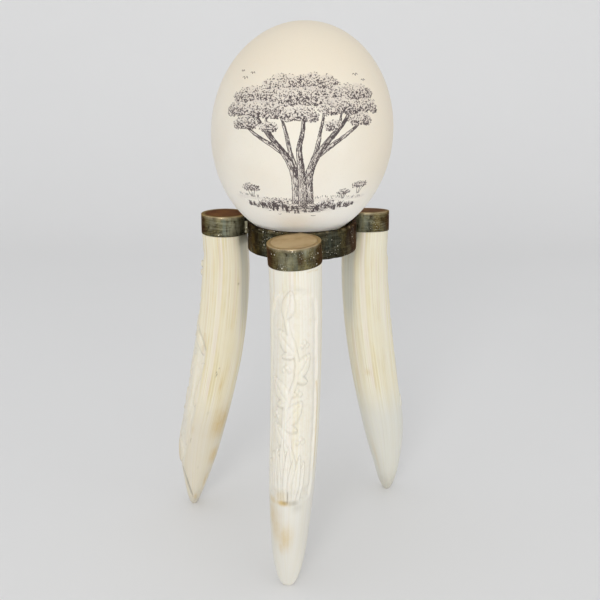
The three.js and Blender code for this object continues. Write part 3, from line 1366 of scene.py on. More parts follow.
@dataclass
class Seat:
    """Where one cap stands, read from its plate's solid."""

    top: Vector
    up: Vector
    plate_radius: float
    plate_thickness: float

    @classmethod
    def read(cls, node: Thing, sink: float) -> "Seat":
        """Reads a seat.

        Args:
            node: The plate's solid.
            sink: How far the plate lies below the band's top.

        Returns:
            The seat.
        """
        points = np.unique(points_of(node).round(7), axis=0)
        middle, up = axis_of(points, 0)
        along = (points - middle) @ up
        middle = middle + up * (along.max() + along.min()) / 2
        away = np.linalg.norm(points - middle - ((points - middle) @ up)[:, None] * up, axis=1)
        thick = float(along.max() - along.min())
        return cls(Vector(middle + up * (thick / 2 + sink)), Vector(up), float(away.max()), thick)

    def matrix(self) -> Matrix:
        """Gives the frame with its origin at the cap's top and z along the cap's axis."""
        turn = Vector((0, 0, 1)).rotation_difference(self.up).to_matrix().to_4x4()
        return Matrix.Translation(self.top) @ turn

    def local(self, points: Array) -> Array:
        """Gives points in the cap's own frame."""
        back = np.array(self.matrix().inverted())
        return points @ back[:3, :3].T + back[:3, 3]


def tube(radius: float, wall: float, height: float, sides: int, rows: int) -> Thing:
    """Models an upright tube whose top is at z = 0.

    Args:
        radius: Its outer radius.
        wall: Its wall's thickness.
        height: Its height.
        sides: How many sides it has.
        rows: How many rows of faces its outer wall has.

    Returns:
        The tube.
    """
    obj = Bench.cylinder(radius, height, sides, -height / 2)
    Bench.edit(obj)
    Bench.pick(obj, Part.FACES, lambda face: abs(face.normal.z) > 0.9)
    bpy.ops.mesh.inset(thickness=wall, depth=0)
    bpy.ops.mesh.bridge_edge_loops()
    Bench.pick(obj, Part.EDGES, lambda edge: abs(edge.verts[0].co.z - edge.verts[1].co.z) > height * 0.9)
    bpy.ops.mesh.subdivide(number_cuts=rows - 1)
    bpy.ops.mesh.select_all(action="SELECT")
    bpy.ops.mesh.normals_make_consistent(inside=False)
    bpy.ops.object.mode_set(mode="OBJECT")
    return obj


def round_rims(obj: Thing, height: float, width: float, beyond: float = 0.0) -> None:
    """Rounds a tube's rims.

    Args:
        obj: The tube, with its top at z = 0.
        height: Its height.
        width: How wide the rounding is.
        beyond: The radius beyond which edges are rounded.
    """

    def on_rim(edge: bmesh.types.BMEdge) -> bool:
        """Tells whether an edge runs round a rim.

        Args:
            edge: The edge.

        Returns:
            True where it does.
        """
        first, second = (vertex.co for vertex in edge.verts)
        level = abs(first.z - second.z) < TINY and (abs(first.z) < TINY or abs(first.z + height) < TINY)
        return level and abs(first.xy.length - second.xy.length) < TINY and first.xy.length > beyond

    Bench.edit(obj)
    Bench.pick(obj, Part.EDGES, on_rim)
    bpy.ops.mesh.bevel(offset=width, segments=3, affect="EDGES")
    bpy.ops.object.mode_set(mode="OBJECT")


def uneven(
    points: Array, radius: float, wall: float, size: float, scale: float, level: float, seed: float = 0.0
) -> Array:
    """Makes a tube's outer wall uneven.

    Args:
        points: The tube's points, about its own axis, which are changed.
        radius: Its outer radius.
        wall: Its wall's thickness.
        size: How strong the ups and downs are.
        scale: How many of them there are in a metre.
        level: How far the noise is lowered, so that the wall mostly sinks.
        seed: Shifts the noise to another place.

    Returns:
        How far out in the wall each point lies, from 0 inside to 1 outside.
    """
    away = np.linalg.norm(points[:, :2], axis=1)
    outer = ease(away, radius - wall * 0.6, radius - wall * 0.2)
    way = points[:, :2] / away[:, None]
    points[:, :2] += way * ((wander(points, scale, seed) - level) * size * outer)[:, None]
    return outer


@dataclass
class Ring:
    """The brass ring that holds the egg, with its hand-filed, uneven lower edge."""

    node: Thing
    patches: tuple[Patch, ...]
    wall: float = 3.4 * MM
    sides: int = 240
    rows: int = 10
    rim: float = 0.5 * MM
    swell: float = 0.14 * MM
    drip: float = 0.4 * MM
    rough_turn: Pair = (20.0, 62.0)
    rough_soft: float = 8.0
    sharp: float = math.radians(50)

    def measure(self) -> None:
        """Reads the ring's middle, radius and heights from its solid."""
        low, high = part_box(self.node.name)
        self.middle = Vector(((low[0] + high[0]) / 2, (low[1] + high[1]) / 2, high[2]))
        self.radius = (high[0] - low[0]) / 2
        self.height = high[2] - low[2]

    def build(self, look: Look) -> None:
        """Models and dresses the ring.

        Args:
            look: The ring's material.
        """
        ring = tube(self.radius, self.wall, self.height, self.sides, self.rows)
        round_rims(ring, self.height, self.rim)
        points = points_of(ring)
        outer = uneven(points, self.radius, self.wall, self.swell, 110.0, 0.8)
        foot = ease(-points[:, 2], self.height * 0.7, self.height)
        turn = np.degrees(np.arctan2(points[:, 0], -points[:, 1]))
        start, end = self.rough_turn
        lumpy = ease(turn, start, start + self.rough_soft) * ease(end - turn, 0.0, self.rough_soft)
        lumps = wander(points * (1, 1, 0), 300.0, 6.0) * 0.9 - 0.5
        drops = wander(points * (1, 1, 0), 190.0, 3.0) * 0.7 + 0.3
        points[:, 2] += (drops + lumps * lumpy) * self.drip * foot * outer
        move_points(ring, points)
        edge = ease(-points[:, 2], self.height * 0.04, 0.0)
        # the top edge: rubbed bright in patches, with a painted highlight
        rub_and_highlight = edge * ease(wander(points, 260.0, 5.0), 0.0, 0.6) * 0.6 * outer
        store(ring, "wear", rub_and_highlight)
        store(ring, "skin", *skin(points, self.radius, self.patches))
        Bench.place(ring, Matrix.Translation(self.middle))
        bpy.ops.object.shade_smooth_by_angle(angle=self.sharp)
        Bench.finish(ring, "egg_ring", Slot.BRASS, look, self.node.name)


class PatinaAndReflection(Enum):
    """What a patch on the brass shows: brown is patina, at a band's ends with a painted reflection of a
    darker room; cool is the lamp's painted reflection; bright is a painted highlight.
    """

    BROWN = 0
    COOL = 1
    BRIGHT = 2


@dataclass(frozen=True)
class Patch:
    """A patch: its turn from the front in degrees, its depth below the top, and its half sizes in mm."""

    kind: PatinaAndReflection
    turn: float
    down: float
    wide: float
    tall: float
    strength: float = 1.0


def skin(spots: Array, radius: float, patches: Sequence[Patch]) -> Array:
    """Tells how strongly each kind of patina and painted reflection shows on a round piece.

    Args:
        spots: The piece's points, about its own axis with its top at z = 0.
        radius: Its radius.
        patches: The patches.

    Returns:
        One row for each kind, with a share for each point.
    """
    turn = np.arctan2(spots[:, 0], -spots[:, 1])
    patchy = wander(spots, 160.0, 4.0) * 0.5
    shares = np.zeros((len(PatinaAndReflection), len(spots)))
    for patch in patches:
        aside = turned_from(turn, patch.turn) * radius / MM / patch.wide
        along = (-spots[:, 2] / MM - patch.down) / patch.tall
        cover = np.clip(np.exp(-(aside**2) - along**2) * (1.25 + patchy), 0, 1) * patch.strength
        row = patch.kind.value
        shares[row] = np.maximum(shares[row], cover)
    return shares


class Join(Enum):
    """How two solids are joined."""

    ADD = "UNION"
    CUT = "DIFFERENCE"


@dataclass
class Cap:
    """One brass cap: the band round a tusk's root, soldered to the ring, and the plate let into its top."""

    side: str
    ring: Ring
    patches: tuple[Patch, ...]
    # how much of the top's tan, partly a painted reflection, shows on the band
    tan: float
    wall: float = 3.0 * MM
    gap: float = 0.3 * MM
    seam: float = 0.03 * MM
    plate_sink: float = 0.25 * MM
    plate_rise: float = 0.24 * MM
    rim: float = 0.45 * MM
    sides: int = 120
    rows: int = 6
    solder_width: float = 10.0 * MM
    solder_inset: float = 1.0 * MM
    swell: float = 0.07 * MM
    sharp: float = math.radians(40)
    plate_sharp: float = math.radians(25)
    face_edge: float = 0.25 * MM
    face_step: float = 0.02 * MM
    face_steps: int = 4
    bright_rim_down: Pair = (0.7 * MM, 0.15 * MM)
    bright_rim_in: Pair = (0.9 * MM, 0.35 * MM)
    top_down: Pair = (0.35 * MM, 0.02 * MM)

    def measure(self) -> None:
        """Reads the cap's seat and its band's height from their solids."""
        nodes = bpy.data.objects
        self.seat = Seat.read(nodes[f"{self.side}_cap_plate"], self.plate_sink)
        self.radius = self.seat.plate_radius + self.gap + self.wall
        band = self.seat.local(points_of(nodes[f"{self.side}_cap_band"]))
        self.height = -float(band[:, 2].min())

    def wear(self, piece: Thing) -> None:
        """Keeps on a piece where its edges are rubbed bright with a painted highlight, where its top is bare
        and tan, partly a painted reflection, and how it has aged and where its painted reflections lie.

        Args:
            piece: The band, already in place.
        """
        spots = self.seat.local(points_of(piece))
        away = np.linalg.norm(spots[:, :2], axis=1)
        down, far = self.bright_rim_down, self.bright_rim_in
        # the outer rim: rubbed bright, with a painted highlight
        rim = ease(spots[:, 2], -down[0], -down[1]) * ease(away, self.radius - far[0], self.radius - far[1])
        patchy = ease(wander(spots, 150.0, 9.0), -0.5, 0.4) * 0.6 + 0.4
        # the top's tan, partly a painted reflection, strongest on the front cap
        top = ease(spots[:, 2], -self.top_down[0], -self.top_down[1])
        top = top * (away < self.radius * 1.02) * self.tan
        store(piece, "wear", rim * patchy, top, top)
        store(piece, "skin", *skin(spots, self.radius, self.patches))

    def solder(self) -> Thing:
        """Models the lump of solder that fills the space between the band and the ring.

        Returns:
            The lump, in place.
        """
        ring = self.ring
        across = (self.seat.top - ring.middle).xy
        way = across.normalized()
        top = min(self.seat.top.z, ring.middle.z) - self.solder_inset
        bottom = max(self.seat.top.z - self.height, ring.middle.z - ring.height) + self.solder_inset
        start = ring.radius - ring.wall / 2
        end = across.length - self.radius + self.wall / 2
        middle = ring.middle.xy + way * (start + end) / 2
        Bench.clear()
        bpy.ops.mesh.primitive_cube_add(size=1.0)
        lump = bpy.context.object
        lump.dimensions = (end - start, self.solder_width, top - bottom)
        lump.rotation_euler = (0, 0, math.atan2(way.y, way.x))
        lump.location = (middle.x, middle.y, (top + bottom) / 2)
        return Bench.settle(lump)

    @staticmethod
    def cut(obj: Thing, other: Thing, way: Join) -> None:
        """Joins another object to one, or cuts it away.

        Args:
            obj: The object that is kept.
            other: The one that is used up.
            way: How the two are joined.
        """
        Bench.modify(obj, "BOOLEAN", operation=way.value, object=other, solver="EXACT")
        bpy.data.objects.remove(other, do_unlink=True)

    def build_band(self, look: Look) -> None:
        """Models and dresses the band.

        Args:
            look: The band's material.
        """
        band = tube(self.radius, self.wall, self.height, self.sides, self.rows)
        round_rims(band, self.height, self.rim, self.radius - self.wall / 2)
        points = points_of(band)
        uneven(points, self.radius, self.wall, self.swell, 90.0, 0.9, len(self.side))
        move_points(band, points)
        Bench.place(band, self.seat.matrix())

        lump = self.solder()
        core = Bench.cylinder(self.radius - self.wall / 2, 4 * self.height, self.sides)
        self.cut(lump, Bench.place(core, self.seat.matrix()), Join.CUT)
        self.cut(band, lump, Join.ADD)
        ring = self.ring
        core = Bench.cylinder(ring.radius + self.gap, 3 * ring.height, ring.sides, -ring.height / 2)
        self.cut(band, Bench.place(core, Matrix.Translation(ring.middle)), Join.CUT)
        self.wear(band)
        Bench.take(band)
        bpy.ops.object.shade_smooth_by_angle(angle=self.sharp)
        Bench.finish(band, f"{self.side}_band", Slot.BRASS, look, f"{self.side}_cap_band")

    def build_plate(self, look: Look) -> None:
        """Models and dresses the plate: a disc with a softened edge and a slightly worn, hollowed face.

        Args:
            look: The plate's material.
        """
        seat = self.seat
        radius = seat.plate_radius + self.gap - self.seam
        middle = self.plate_rise - self.plate_sink - seat.plate_thickness / 2
        plate = Bench.cylinder(radius, seat.plate_thickness, self.sides, middle)
        Bench.edit(plate)
        Bench.pick(plate, Part.FACES, lambda face: face.normal.z > 0.9)
        bpy.ops.mesh.inset(thickness=self.face_edge, depth=self.face_step)
        for _ in range(self.face_steps):
            bpy.ops.mesh.inset(thickness=seat.plate_radius * 0.2, depth=-self.face_step)
        bpy.ops.object.mode_set(mode="OBJECT")
        Bench.place(plate, seat.matrix())
        away = np.linalg.norm(seat.local(points_of(plate))[:, :2], axis=1)
        # the edge: rubbed a little brighter, with a faint painted highlight
        rim = ease(away, radius - 0.3 * MM, radius - 0.1 * MM) * 0.15
        store(plate, "wear", rim)
        bpy.ops.object.shade_smooth_by_angle(angle=self.plate_sharp)
        Bench.finish(plate, f"{self.side}_plate", Slot.PLATE, look, f"{self.side}_cap_plate")


# --- The tusks ---


class Tint(Enum):
    """What colours a mark on a tusk; grey is mostly painted shade, painted shadow and the painted darker
    tips.
    """

    OCHRE = 0
    UMBER = 1
    GREY = 2


@dataclass(frozen=True)
class Stain:
    """A soft mark, a stain in ochre or umber and mostly painted shade in grey: its height in mm, its turn
    from the outward side in degrees, and its half sizes in mm.
    """

    tint: Tint
    height: float
    turn: float
    tall: float
    wide: float
    strength: float


@dataclass(frozen=True)
class Line:
    """A crack or rubbed line, or in grey a painted shadow along a ridge or on a cut face, along points of
    (turn in degrees, height in mm).
    """

    tint: Tint
    route: tuple[Pair, ...]
    width: float
    depth: float
    strength: float


@dataclass(frozen=True)
class Leaf:
    """One carved leaf: its stalk's turn in degrees and height in mm, its lean from up, and its size in mm."""

    turn: float
    height: float
    lean: float
    long: float
    wide: float
    lift: float = 1.0


@dataclass
class Relief:
    """A climbing vine over a fan of long blades, in millimetres across and up a tusk's outward side."""

    bottom: float
    top: float
    half_width: float
    radius: float
    extra: tuple[Leaf, ...] = ()
    blades: int = 8
    blade_room: float = 42.0
    blade_middle: float = -2.5
    swing: float = 4.2
    wave: float = 74.0
    stem: float = 1.7
    leaf_every: float = 16.5
    leaf_long: float = 20.0
    leaf_wide: float = 6.0
    berry: float = 1.5
    berry_step: float = 2.0
    stem_low: float = 2.0
    stem_high: float = 14.0
    leans: tuple[Pair, ...] = ((38.0, 1.0), (112.0, 0.5))
    tip_drop: float = 23.0
    blade_wide: float = 2.9
    blade_lean: float = 9.0
    seed: int = 3

    def stem_at(self, up: Array) -> Array:
        """Gives the stem's place across at a height."""
        return self.swing * np.sin((up - self.bottom) / self.wave * math.tau)

    @staticmethod
    def blade(across: Array, up: Array, leaf: Leaf, spot: Pair) -> Array:
        """Gives the height of one leaf: a pointed, domed blade with a cut midrib.

        Args:
            across: Places across.
            up: Places up.
            leaf: The leaf.
            spot: Where its stalk starts.

        Returns:
            The leaf's height, 0 off the leaf.
        """
        lean = math.radians(leaf.lean)
        dx, dy = across - spot[0], up - spot[1]
        along = (dx * math.sin(lean) + dy * math.cos(lean)) / leaf.long
        aside = dx * math.cos(lean) - dy * math.sin(lean)
        inside = np.clip(along, 0, 1)
        reach = leaf.wide * (np.sin(inside**0.8 * math.pi) ** 0.85 + 0.02)
        share = np.abs(aside) / np.maximum(reach, 1e-3)
        dome = ease(1.0 - share, 0.0, 0.3) * (1 - 0.35 * share**2) * ((along > 0) & (along < 1))
        rib = np.exp(-((aside / 0.7) ** 2)) * 0.32 * (inside < 0.85)
        veins = np.maximum(0, np.sin((along * 7 - share * 1.2) * math.pi)) ** 4 * 0.12 * (leaf.wide > 3.5)
        return np.clip(dome * (1.0 - rib - veins), 0, 1)

    def heights(self, across: Array, up: Array) -> Array:
        """Gives the relief's height above the sunk ground.

        Args:
            across: Places across.
            up: Places up.

        Returns:
            Heights as shares of the relief's lift.
        """
        dice = random.Random(self.seed)
        slope = self.swing / self.wave * math.tau * np.cos((up - self.bottom) / self.wave * math.tau)
        gap = np.abs(across - self.stem_at(up)) / np.hypot(1, slope)
        within = (up > self.bottom + self.stem_low) & (up < self.top - self.stem_high)
        relief = np.sqrt(np.clip(1 - (gap / self.stem) ** 2, 0, 1)) * 0.8 * within
        count = int((self.top - self.bottom - self.blade_room - 8) / self.leaf_every)
        for k in range(count):
            height = self.bottom + self.blade_room - 6 + k * self.leaf_every
            side = 1 if k % 2 else -1
            start = float(self.stem_at(np.array(height)))
            crowded = max(0.0, start * side) / self.half_width
            for lean, share in self.leans:
                size = share * (1.0 - 0.45 * crowded)
                turned = side * (lean + dice.uniform(-6, 6))
                leaf = Leaf(0, height, turned, self.leaf_long * size, self.leaf_wide * size)
                relief = np.maximum(relief, self.blade(across, up, leaf, (start, height)))
            berries = (start - side * dice.uniform(6.0, 7.5), height + self.leaf_every * 0.3)
            for step in range(3):
                spot = np.add(berries, np.multiply((step - 1, step % 2), self.berry_step))
                round_gap = np.hypot(across - spot[0], up - spot[1])
                relief = np.maximum(relief, np.sqrt(np.clip(1 - (round_gap / self.berry) ** 2, 0, 1)) * 0.7)
        tip = Leaf(0, self.top - self.tip_drop, dice.uniform(4, 14), self.leaf_long, self.leaf_wide)
        spot = (float(self.stem_at(np.array(tip.height))), tip.height)
        relief = np.maximum(relief, self.blade(across, up, tip, spot))
        for k in dice.sample(range(self.blades), self.blades):
            share = (k + 0.5) / self.blades * 2 - 1
            tall = self.blade_room * (1.05 - 0.35 * abs(share)) * dice.uniform(0.85, 1.12)
            leaf = Leaf(0, self.bottom - 1.5, share * self.blade_lean, tall, self.blade_wide)
            spot = (self.blade_middle + share * self.half_width * 0.6, leaf.height)
            front = self.blade(across, up, leaf, spot) * 0.9
            relief = np.where(front > 0.01, np.maximum(front, relief * 0.5), relief)
        for leaf in self.extra:
            spot = (math.radians(leaf.turn) * self.radius, leaf.height)
            relief = np.maximum(relief, self.blade(across, up, leaf, spot) * leaf.lift)
        return relief


@dataclass
class Tusk:
    """One tusk leg: its solid's shape made smooth, with a carved outward side."""

    side: str
    marks: tuple[Union[Stain, Line], ...]
    extra: tuple[Leaf, ...] = ()
    panel_share: Pair = (0.345, 0.955)
    reach: tuple[Triple, ...] = ((0.0, -52.0, 52.0), (1.0, -52.0, 52.0))
    side_soft: float = 0.08
    top_soft: float = 0.03
    relief_turn: float = math.radians(52)
    solid_panel: Pair = (0.335, 0.93)
    solid_depth: float = 0.9 * MM
    solid_turns: Pair = (math.radians(45), math.radians(60))
    solid_edge: float = 0.02
    levels: int = 3
    sharp: float = math.radians(38)
    recess: float = 0.4 * MM
    lift: float = 1.5 * MM
    # how far above a point, in mm, the relief is read for the painted shadow under its forms
    shadow_drop: float = 1.6
    groove_turn: float = math.radians(24)
    groove_share: Pair = (0.6, 0.86)
    groove_depth: float = 0.7 * MM
    smooth_share: Pair = (0.3, 0.48)
    slices: int = 60
    grain_radius: float = 18 * MM
    chisel: float = 0.07 * MM
    dip: float = 0.25 * MM
    ripple: float = 0.05 * MM
    # how far below its neighbours' average a point must lie for full painted shade, and how often they are
    # averaged
    hollow_shade_depth: float = 0.3 * MM
    hollow_shade_rounds: int = 8
    fine_margin: float = 0.06
    wobbles: tuple[Triple, ...] = ((37.0, 0.025, 1.0), (91.0, 0.014, 0.0))
    seed: int = 1

    def build(self, look: Look) -> None:
        """Models, carves and dresses the tusk.

        Args:
            look: The tusk's material.
        """
        node = bpy.data.objects[f"{self.side}_tusk"]
        band_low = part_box(f"{self.side}_cap_band")[0][2]
        tusk = Bench.copy(node, f"{self.side}_leg")
        Bench.edit(tusk)
        Bench.pick(tusk, Part.EDGES, lambda edge: edge.is_manifold and edge.calc_face_angle() > self.sharp)
        bpy.ops.transform.edge_crease(value=1.0)
        bpy.ops.object.mode_set(mode="OBJECT")
        Bench.modify(tusk, "SUBSURF", levels=self.levels, render_levels=self.levels)
        self.straighten(points_of(tusk), band_low)
        Bench.edit(tusk)
        mesh = bmesh.from_edit_mesh(tusk.data)
        centres = np.array([face.calc_center_median() for face in mesh.faces])
        carved = self.panel(centres, self.fine_margin) > 0
        Bench.pick(tusk, Part.FACES, lambda face: carved[face.index])
        bpy.ops.mesh.subdivide(number_cuts=1)
        bpy.ops.object.mode_set(mode="OBJECT")
        self.carve(tusk)
        bpy.ops.object.shade_smooth()
        Bench.finish(tusk, f"{self.side}_leg", Slot.TUSK, look, f"{self.side}_tusk")

    def straighten(self, points: Array, shoulder: float) -> None:
        """Finds the tusk's middle line and its outward direction.

        Args:
            points: The tusk's points.
            shoulder: The height of the band's lower edge.
        """
        self.shoulder = shoulder
        levels = np.linspace(0, points[:, 2].max(), self.slices)
        step = levels[1]
        middles = []
        for level in levels:
            near = points[np.abs(points[:, 2] - level) < step]
            middles.append((near[:, :2].min(0) + near[:, :2].max(0)) / 2)
        self.levels_up = levels
        self.middles = np.array(middles)
        foot = self.middles[1]
        root = self.middle_at(np.array([shoulder]))[0]
        self.out = (foot - root) / np.linalg.norm(foot - root)

    def middle_at(self, heights: Array) -> Array:
        """Gives the middle line's places across the floor at some heights."""
        return np.stack([np.interp(heights, self.levels_up, self.middles[:, k]) for k in (0, 1)], 1)

    def round_and_up(self, points: Array) -> tuple[Array, Array, Array]:
        """Finds where points lie on the tusk.

        Args:
            points: The points.

        Returns:
            Their turn from the outward side, their distance from the middle line, and their height as a
            share of the shoulder's.
        """
        away = points[:, :2] - self.middle_at(points[:, 2])
        side = np.array((-self.out[1], self.out[0]))
        turn = np.arctan2(away @ side, away @ self.out)
        return turn, np.linalg.norm(away, axis=1), points[:, 2] / self.shoulder

    def panel(self, points: Array, margin: float = 0.0) -> Array:
        """Tells how far points are within the carved panel.

        Args:
            points: The points.
            margin: How much further than its edge the panel is taken to reach, in radians and shares.

        Returns:
            Shares from 0 outside it to 1 inside.
        """
        turn, _, share = self.round_and_up(points)
        wobble = sum(np.sin(share * pitch + self.seed * own) * size for pitch, size, own in self.wobbles)
        shares, lows, highs = np.array(self.reach).T
        left = turn - np.radians(np.interp(share, shares, lows)) + margin + wobble
        right = np.radians(np.interp(share, shares, highs)) - turn + margin + wobble
        across = ease(left, 0.0, self.side_soft) * ease(right, 0.0, self.side_soft)
        low, high = self.panel_share
        low = low - margin + np.sin(turn * 5 + self.seed) * 0.004
        high = high + margin - 0.03 * np.abs(turn) ** 3 + np.sin(turn * 4 + self.seed) * 0.005
        return across * ease(share, low, low + 0.01) * ease(high - share, 0.0, self.top_soft)

    def solid_sunk(self, turn: Array, share: Array) -> Array:
        """Tells how far the solid's own plain panel is sunk.

        Args:
            turn: The points' turns.
            share: Their heights as shares of the shoulder's.

        Returns:
            Shares of its full depth.
        """
        start, end = self.solid_panel
        inner, outer = self.solid_turns
        upright = ease(share, start, start + self.solid_edge) * ease(end - share, 0.0, self.solid_edge)
        return upright * ease(outer - np.abs(turn), 0.0, outer - inner)

    def near_line(self, line: Line, turn: Array, up: Array, radius: float) -> Array:
        """Tells how near points are to a line.

        Args:
            line: The line.
            turn: The points' turns.
            up: Their heights in mm.
            radius: The tusk's radius in mm.

        Returns:
            Shares from 0 away from it to 1 on it.
        """
        near = np.zeros(len(turn))
        for (turn_a, up_a), (turn_b, up_b) in zip(line.route, line.route[1:]):
            dx, dy = math.radians(turn_b - turn_a) * radius, up_b - up_a
            x = turned_from(turn, turn_a) * radius
            share = np.clip((x * dx + (up - up_a) * dy) / (dx * dx + dy * dy), 0, 1)
            gap = np.hypot(x - share * dx, up - up_a - share * dy)
            near = np.maximum(near, np.exp(-((gap / (line.width / 2)) ** 2)))
        return near

    def carve(self, tusk: Thing) -> None:
        """Sinks the panel, raises its relief, cuts the groove, paints shade into the relief's hollows and
        under its forms, and keeps what the material reads.

        Args:
            tusk: The smooth tusk.
        """
        points = points_of(tusk)
        turn, away, share = self.round_and_up(points)
        up = points[:, 2] / MM
        panel = self.panel(points)
        radius = float(np.median(away[np.abs(share - 0.6) < 0.2])) / MM
        low, high = (part * self.shoulder / MM for part in self.panel_share)
        relief = Relief(low, high, self.relief_turn * radius, radius, self.extra, seed=self.seed)
        raised = relief.heights(turn * radius, up)
        # Painted shadow: where the relief just above and beside a point is higher, the point is painted grey.
        above = relief.heights(turn * radius + 0.5, up + self.shadow_drop)
        shaded = np.clip(above - raised, 0, 1) * panel
        chisel = wander(points * (1, 1, 0.4), 420.0, self.seed) * self.chisel * (raised < 0.05)
        dip = wander(points * (1, 1, 0.6), 90.0, self.seed + 2.0) * self.dip
        deep = ease(share, self.solid_panel[0] - 0.1, self.solid_panel[0])
        rise = (raised * self.lift - self.recess - self.solid_depth * deep + chisel + dip) * panel
        rise += self.solid_sunk(turn, share) * self.solid_depth

        start, end = self.groove_share
        aside = np.clip((math.pi - np.abs(turn)) / self.groove_turn, 0, 1)
        groove = (1 - aside**2) * ease(share, start, end) * (share < 1.0)
        rise -= groove * self.groove_depth
        bare = 1 - panel
        ripple = wander(points * (1, 1, 0.03), 480.0, self.seed + 5.0) * self.ripple
        smooth = ease(share, self.smooth_share[1], self.smooth_share[0])
        rise += ripple * bare * (1 - smooth) * (share < 1.0)

        stains = np.zeros((len(Tint), len(points)))
        for mark in self.marks:
            if isinstance(mark, Line):
                near = self.near_line(mark, turn, up, radius)
                rise -= near * mark.depth * MM
            else:
                aside = turned_from(turn, mark.turn) * radius / mark.wide
                near = np.exp(-(((up - mark.height) / mark.tall) ** 2) - aside**2)
            row = mark.tint.value
            stains[row] = np.maximum(stains[row], near * mark.strength)

        # Painted shade: grey where the surface lies below the average of its neighbours, in the relief's
        # hollows, and under its forms.
        deeper = self.evened(tusk, rise, self.hollow_shade_rounds) - rise
        hollow_tone_and_shade = np.clip(deeper / self.hollow_shade_depth, 0, 1) * 0.35 * panel
        grey = Tint.GREY.value
        stains[grey] = np.maximum(stains[grey], np.maximum(hollow_tone_and_shade, shaded * 0.5))
        away_way = points[:, :2] - self.middle_at(points[:, 2])
        straight = points.copy()
        straight[:, :2] = away_way / np.maximum(away, 1e-6)[:, None] * self.grain_radius
        move_points(tusk, points + normals_of(tusk) * rise[:, None])
        store(tusk, "straight", *straight.T)
        carved = panel * (1 - 0.5 * np.clip(raised, 0, 1))
        store(tusk, "marks", carved, ease(groove, 0.0, 0.7), smooth)
        store(tusk, "stains", *stains)

    @staticmethod
    def evened(obj: Thing, values: Array, rounds: int) -> Array:
        """Averages numbers over neighbouring points.

        Args:
            obj: The object whose points hold the numbers.
            values: The numbers.
            rounds: How many times they are averaged.

        Returns:
            The evened numbers.
        """
        pairs = np.empty(len(obj.data.edges) * 2, np.int32)
        obj.data.edges.foreach_get("vertices", pairs)
        first, second = pairs[0::2], pairs[1::2]
        count = len(values)
        neighbours = np.bincount(first, minlength=count) + np.bincount(second, minlength=count)
        for _ in range(rounds):
            total = np.bincount(first, values[second], count) + np.bincount(second, values[first], count)
            values = (values + total) / (neighbours + 1)
        return values


# --- The studio ---


@dataclass(frozen=True)
class Lamp:
    """One soft lamp: where it stands and what it points at, its size and its power."""

    name: str
    place: Triple
    size: float
    power: float


@dataclass
class Studio:
    """A plain pale floor that sweeps up behind, soft lamps, and the camera."""

    lamps: tuple[Lamp, ...] = (
        Lamp("key", (-0.6, -2.75, 1.25), 1.2, 27.0),
        Lamp("fill", (1.5, -2.3, 0.25), 1.6, 9.5),
        Lamp("side", (2.2, -1.5, 0.3), 1.2, 4.5),
        Lamp("top", (-0.2, 0.1, 1.7), 1.0, 1.0),
    )
    aim: Triple = (0.0, 0.0, 0.2)
    floor_width: float = 5.0
    floor_front: float = -2.5
    floor_back: float = 1.6
    wall_height: float = 2.4
    sweep: float = 0.7
    sweep_segments: int = 24
    daylight: Colour = tint(236, 238, 242)
    daylight_strength: float = 0.82
    lens: float = 54.6
    nearest: float = 10 * MM
    camera_place: Triple = (-1.5 * MM, -660.9 * MM, 393.4 * MM)
    camera_down: float = math.radians(17.33)

    def build_floor(self, look: Look) -> None:
        """Models the floor as a sheet that curves up into a wall.

        Args:
            look: The floor's material.
        """
        Bench.clear()
        bpy.ops.mesh.primitive_plane_add(size=1.0)
        floor = bpy.context.object
        floor.name = "floor"
        depth = self.floor_back - self.floor_front
        floor.scale = (self.floor_width, depth, 1.0)
        floor.location = (0, self.floor_front + depth / 2, 0)
        Bench.settle(floor)
        Bench.edit(floor)
        back = self.floor_back
        Bench.pick(floor, Part.EDGES, lambda edge: all(vertex.co.y > back - MM for vertex in edge.verts))
        bpy.ops.mesh.extrude_region_move(TRANSFORM_OT_translate={"value": (0, 0, self.wall_height)})
        corner = 10 * MM

        def in_corner(edge: bmesh.types.BMEdge) -> bool:
            """Tells whether an edge runs where the floor meets the wall."""
            return all(vertex.co.y > back - corner and vertex.co.z < corner for vertex in edge.verts)

        Bench.pick(floor, Part.EDGES, in_corner)
        bpy.ops.mesh.bevel(offset=self.sweep, segments=self.sweep_segments, affect="EDGES")
        bpy.ops.object.mode_set(mode="OBJECT")
        bpy.ops.object.shade_smooth()
        floor.data.materials.append(look)

    def build_lamps(self) -> None:
        """Adds the lamps and the light of the room."""
        for lamp in self.lamps:
            light = bpy.data.lights.new(lamp.name, "AREA")
            light.shape = "DISK"
            light.size = lamp.size
            light.energy = lamp.power
            obj = bpy.data.objects.new(lamp.name, light)
            obj.location = lamp.place
            way = Vector(self.aim) - Vector(lamp.place)
            obj.rotation_euler = way.to_track_quat("-Z", "Y").to_euler()
            bpy.context.scene.collection.objects.link(obj)
        world = bpy.data.worlds.new("room")
        world.use_nodes = True
        background = world.node_tree.nodes["Background"]
        background.inputs["Color"].default_value = self.daylight
        background.inputs["Strength"].default_value = self.daylight_strength
        bpy.context.scene.world = world

    def build_camera(self, axis: Vector) -> None:
        """Places the camera.

        Args:
            axis: The place on the floor under the ring's middle.
        """
        camera = bpy.data.cameras.new("camera")
        camera.lens = self.lens
        camera.clip_start = self.nearest
        obj = bpy.data.objects.new("camera", camera)
        obj.location = Vector(self.camera_place) + Vector((axis.x, axis.y, 0))
        obj.rotation_euler = (math.pi / 2 - self.camera_down, 0, 0)
        bpy.context.scene.collection.objects.link(obj)
        bpy.context.scene.camera = obj
        bpy.context.scene.view_settings.view_transform = "Standard"


# --- The whole ---


def rows(kind: Callable[..., object], colour: Enum, *numbers: tuple[float, ...]) -> tuple:
    """Gives several patches or stains of one colour, from the rest of each one's numbers."""
    return tuple(kind(colour, *row) for row in numbers)


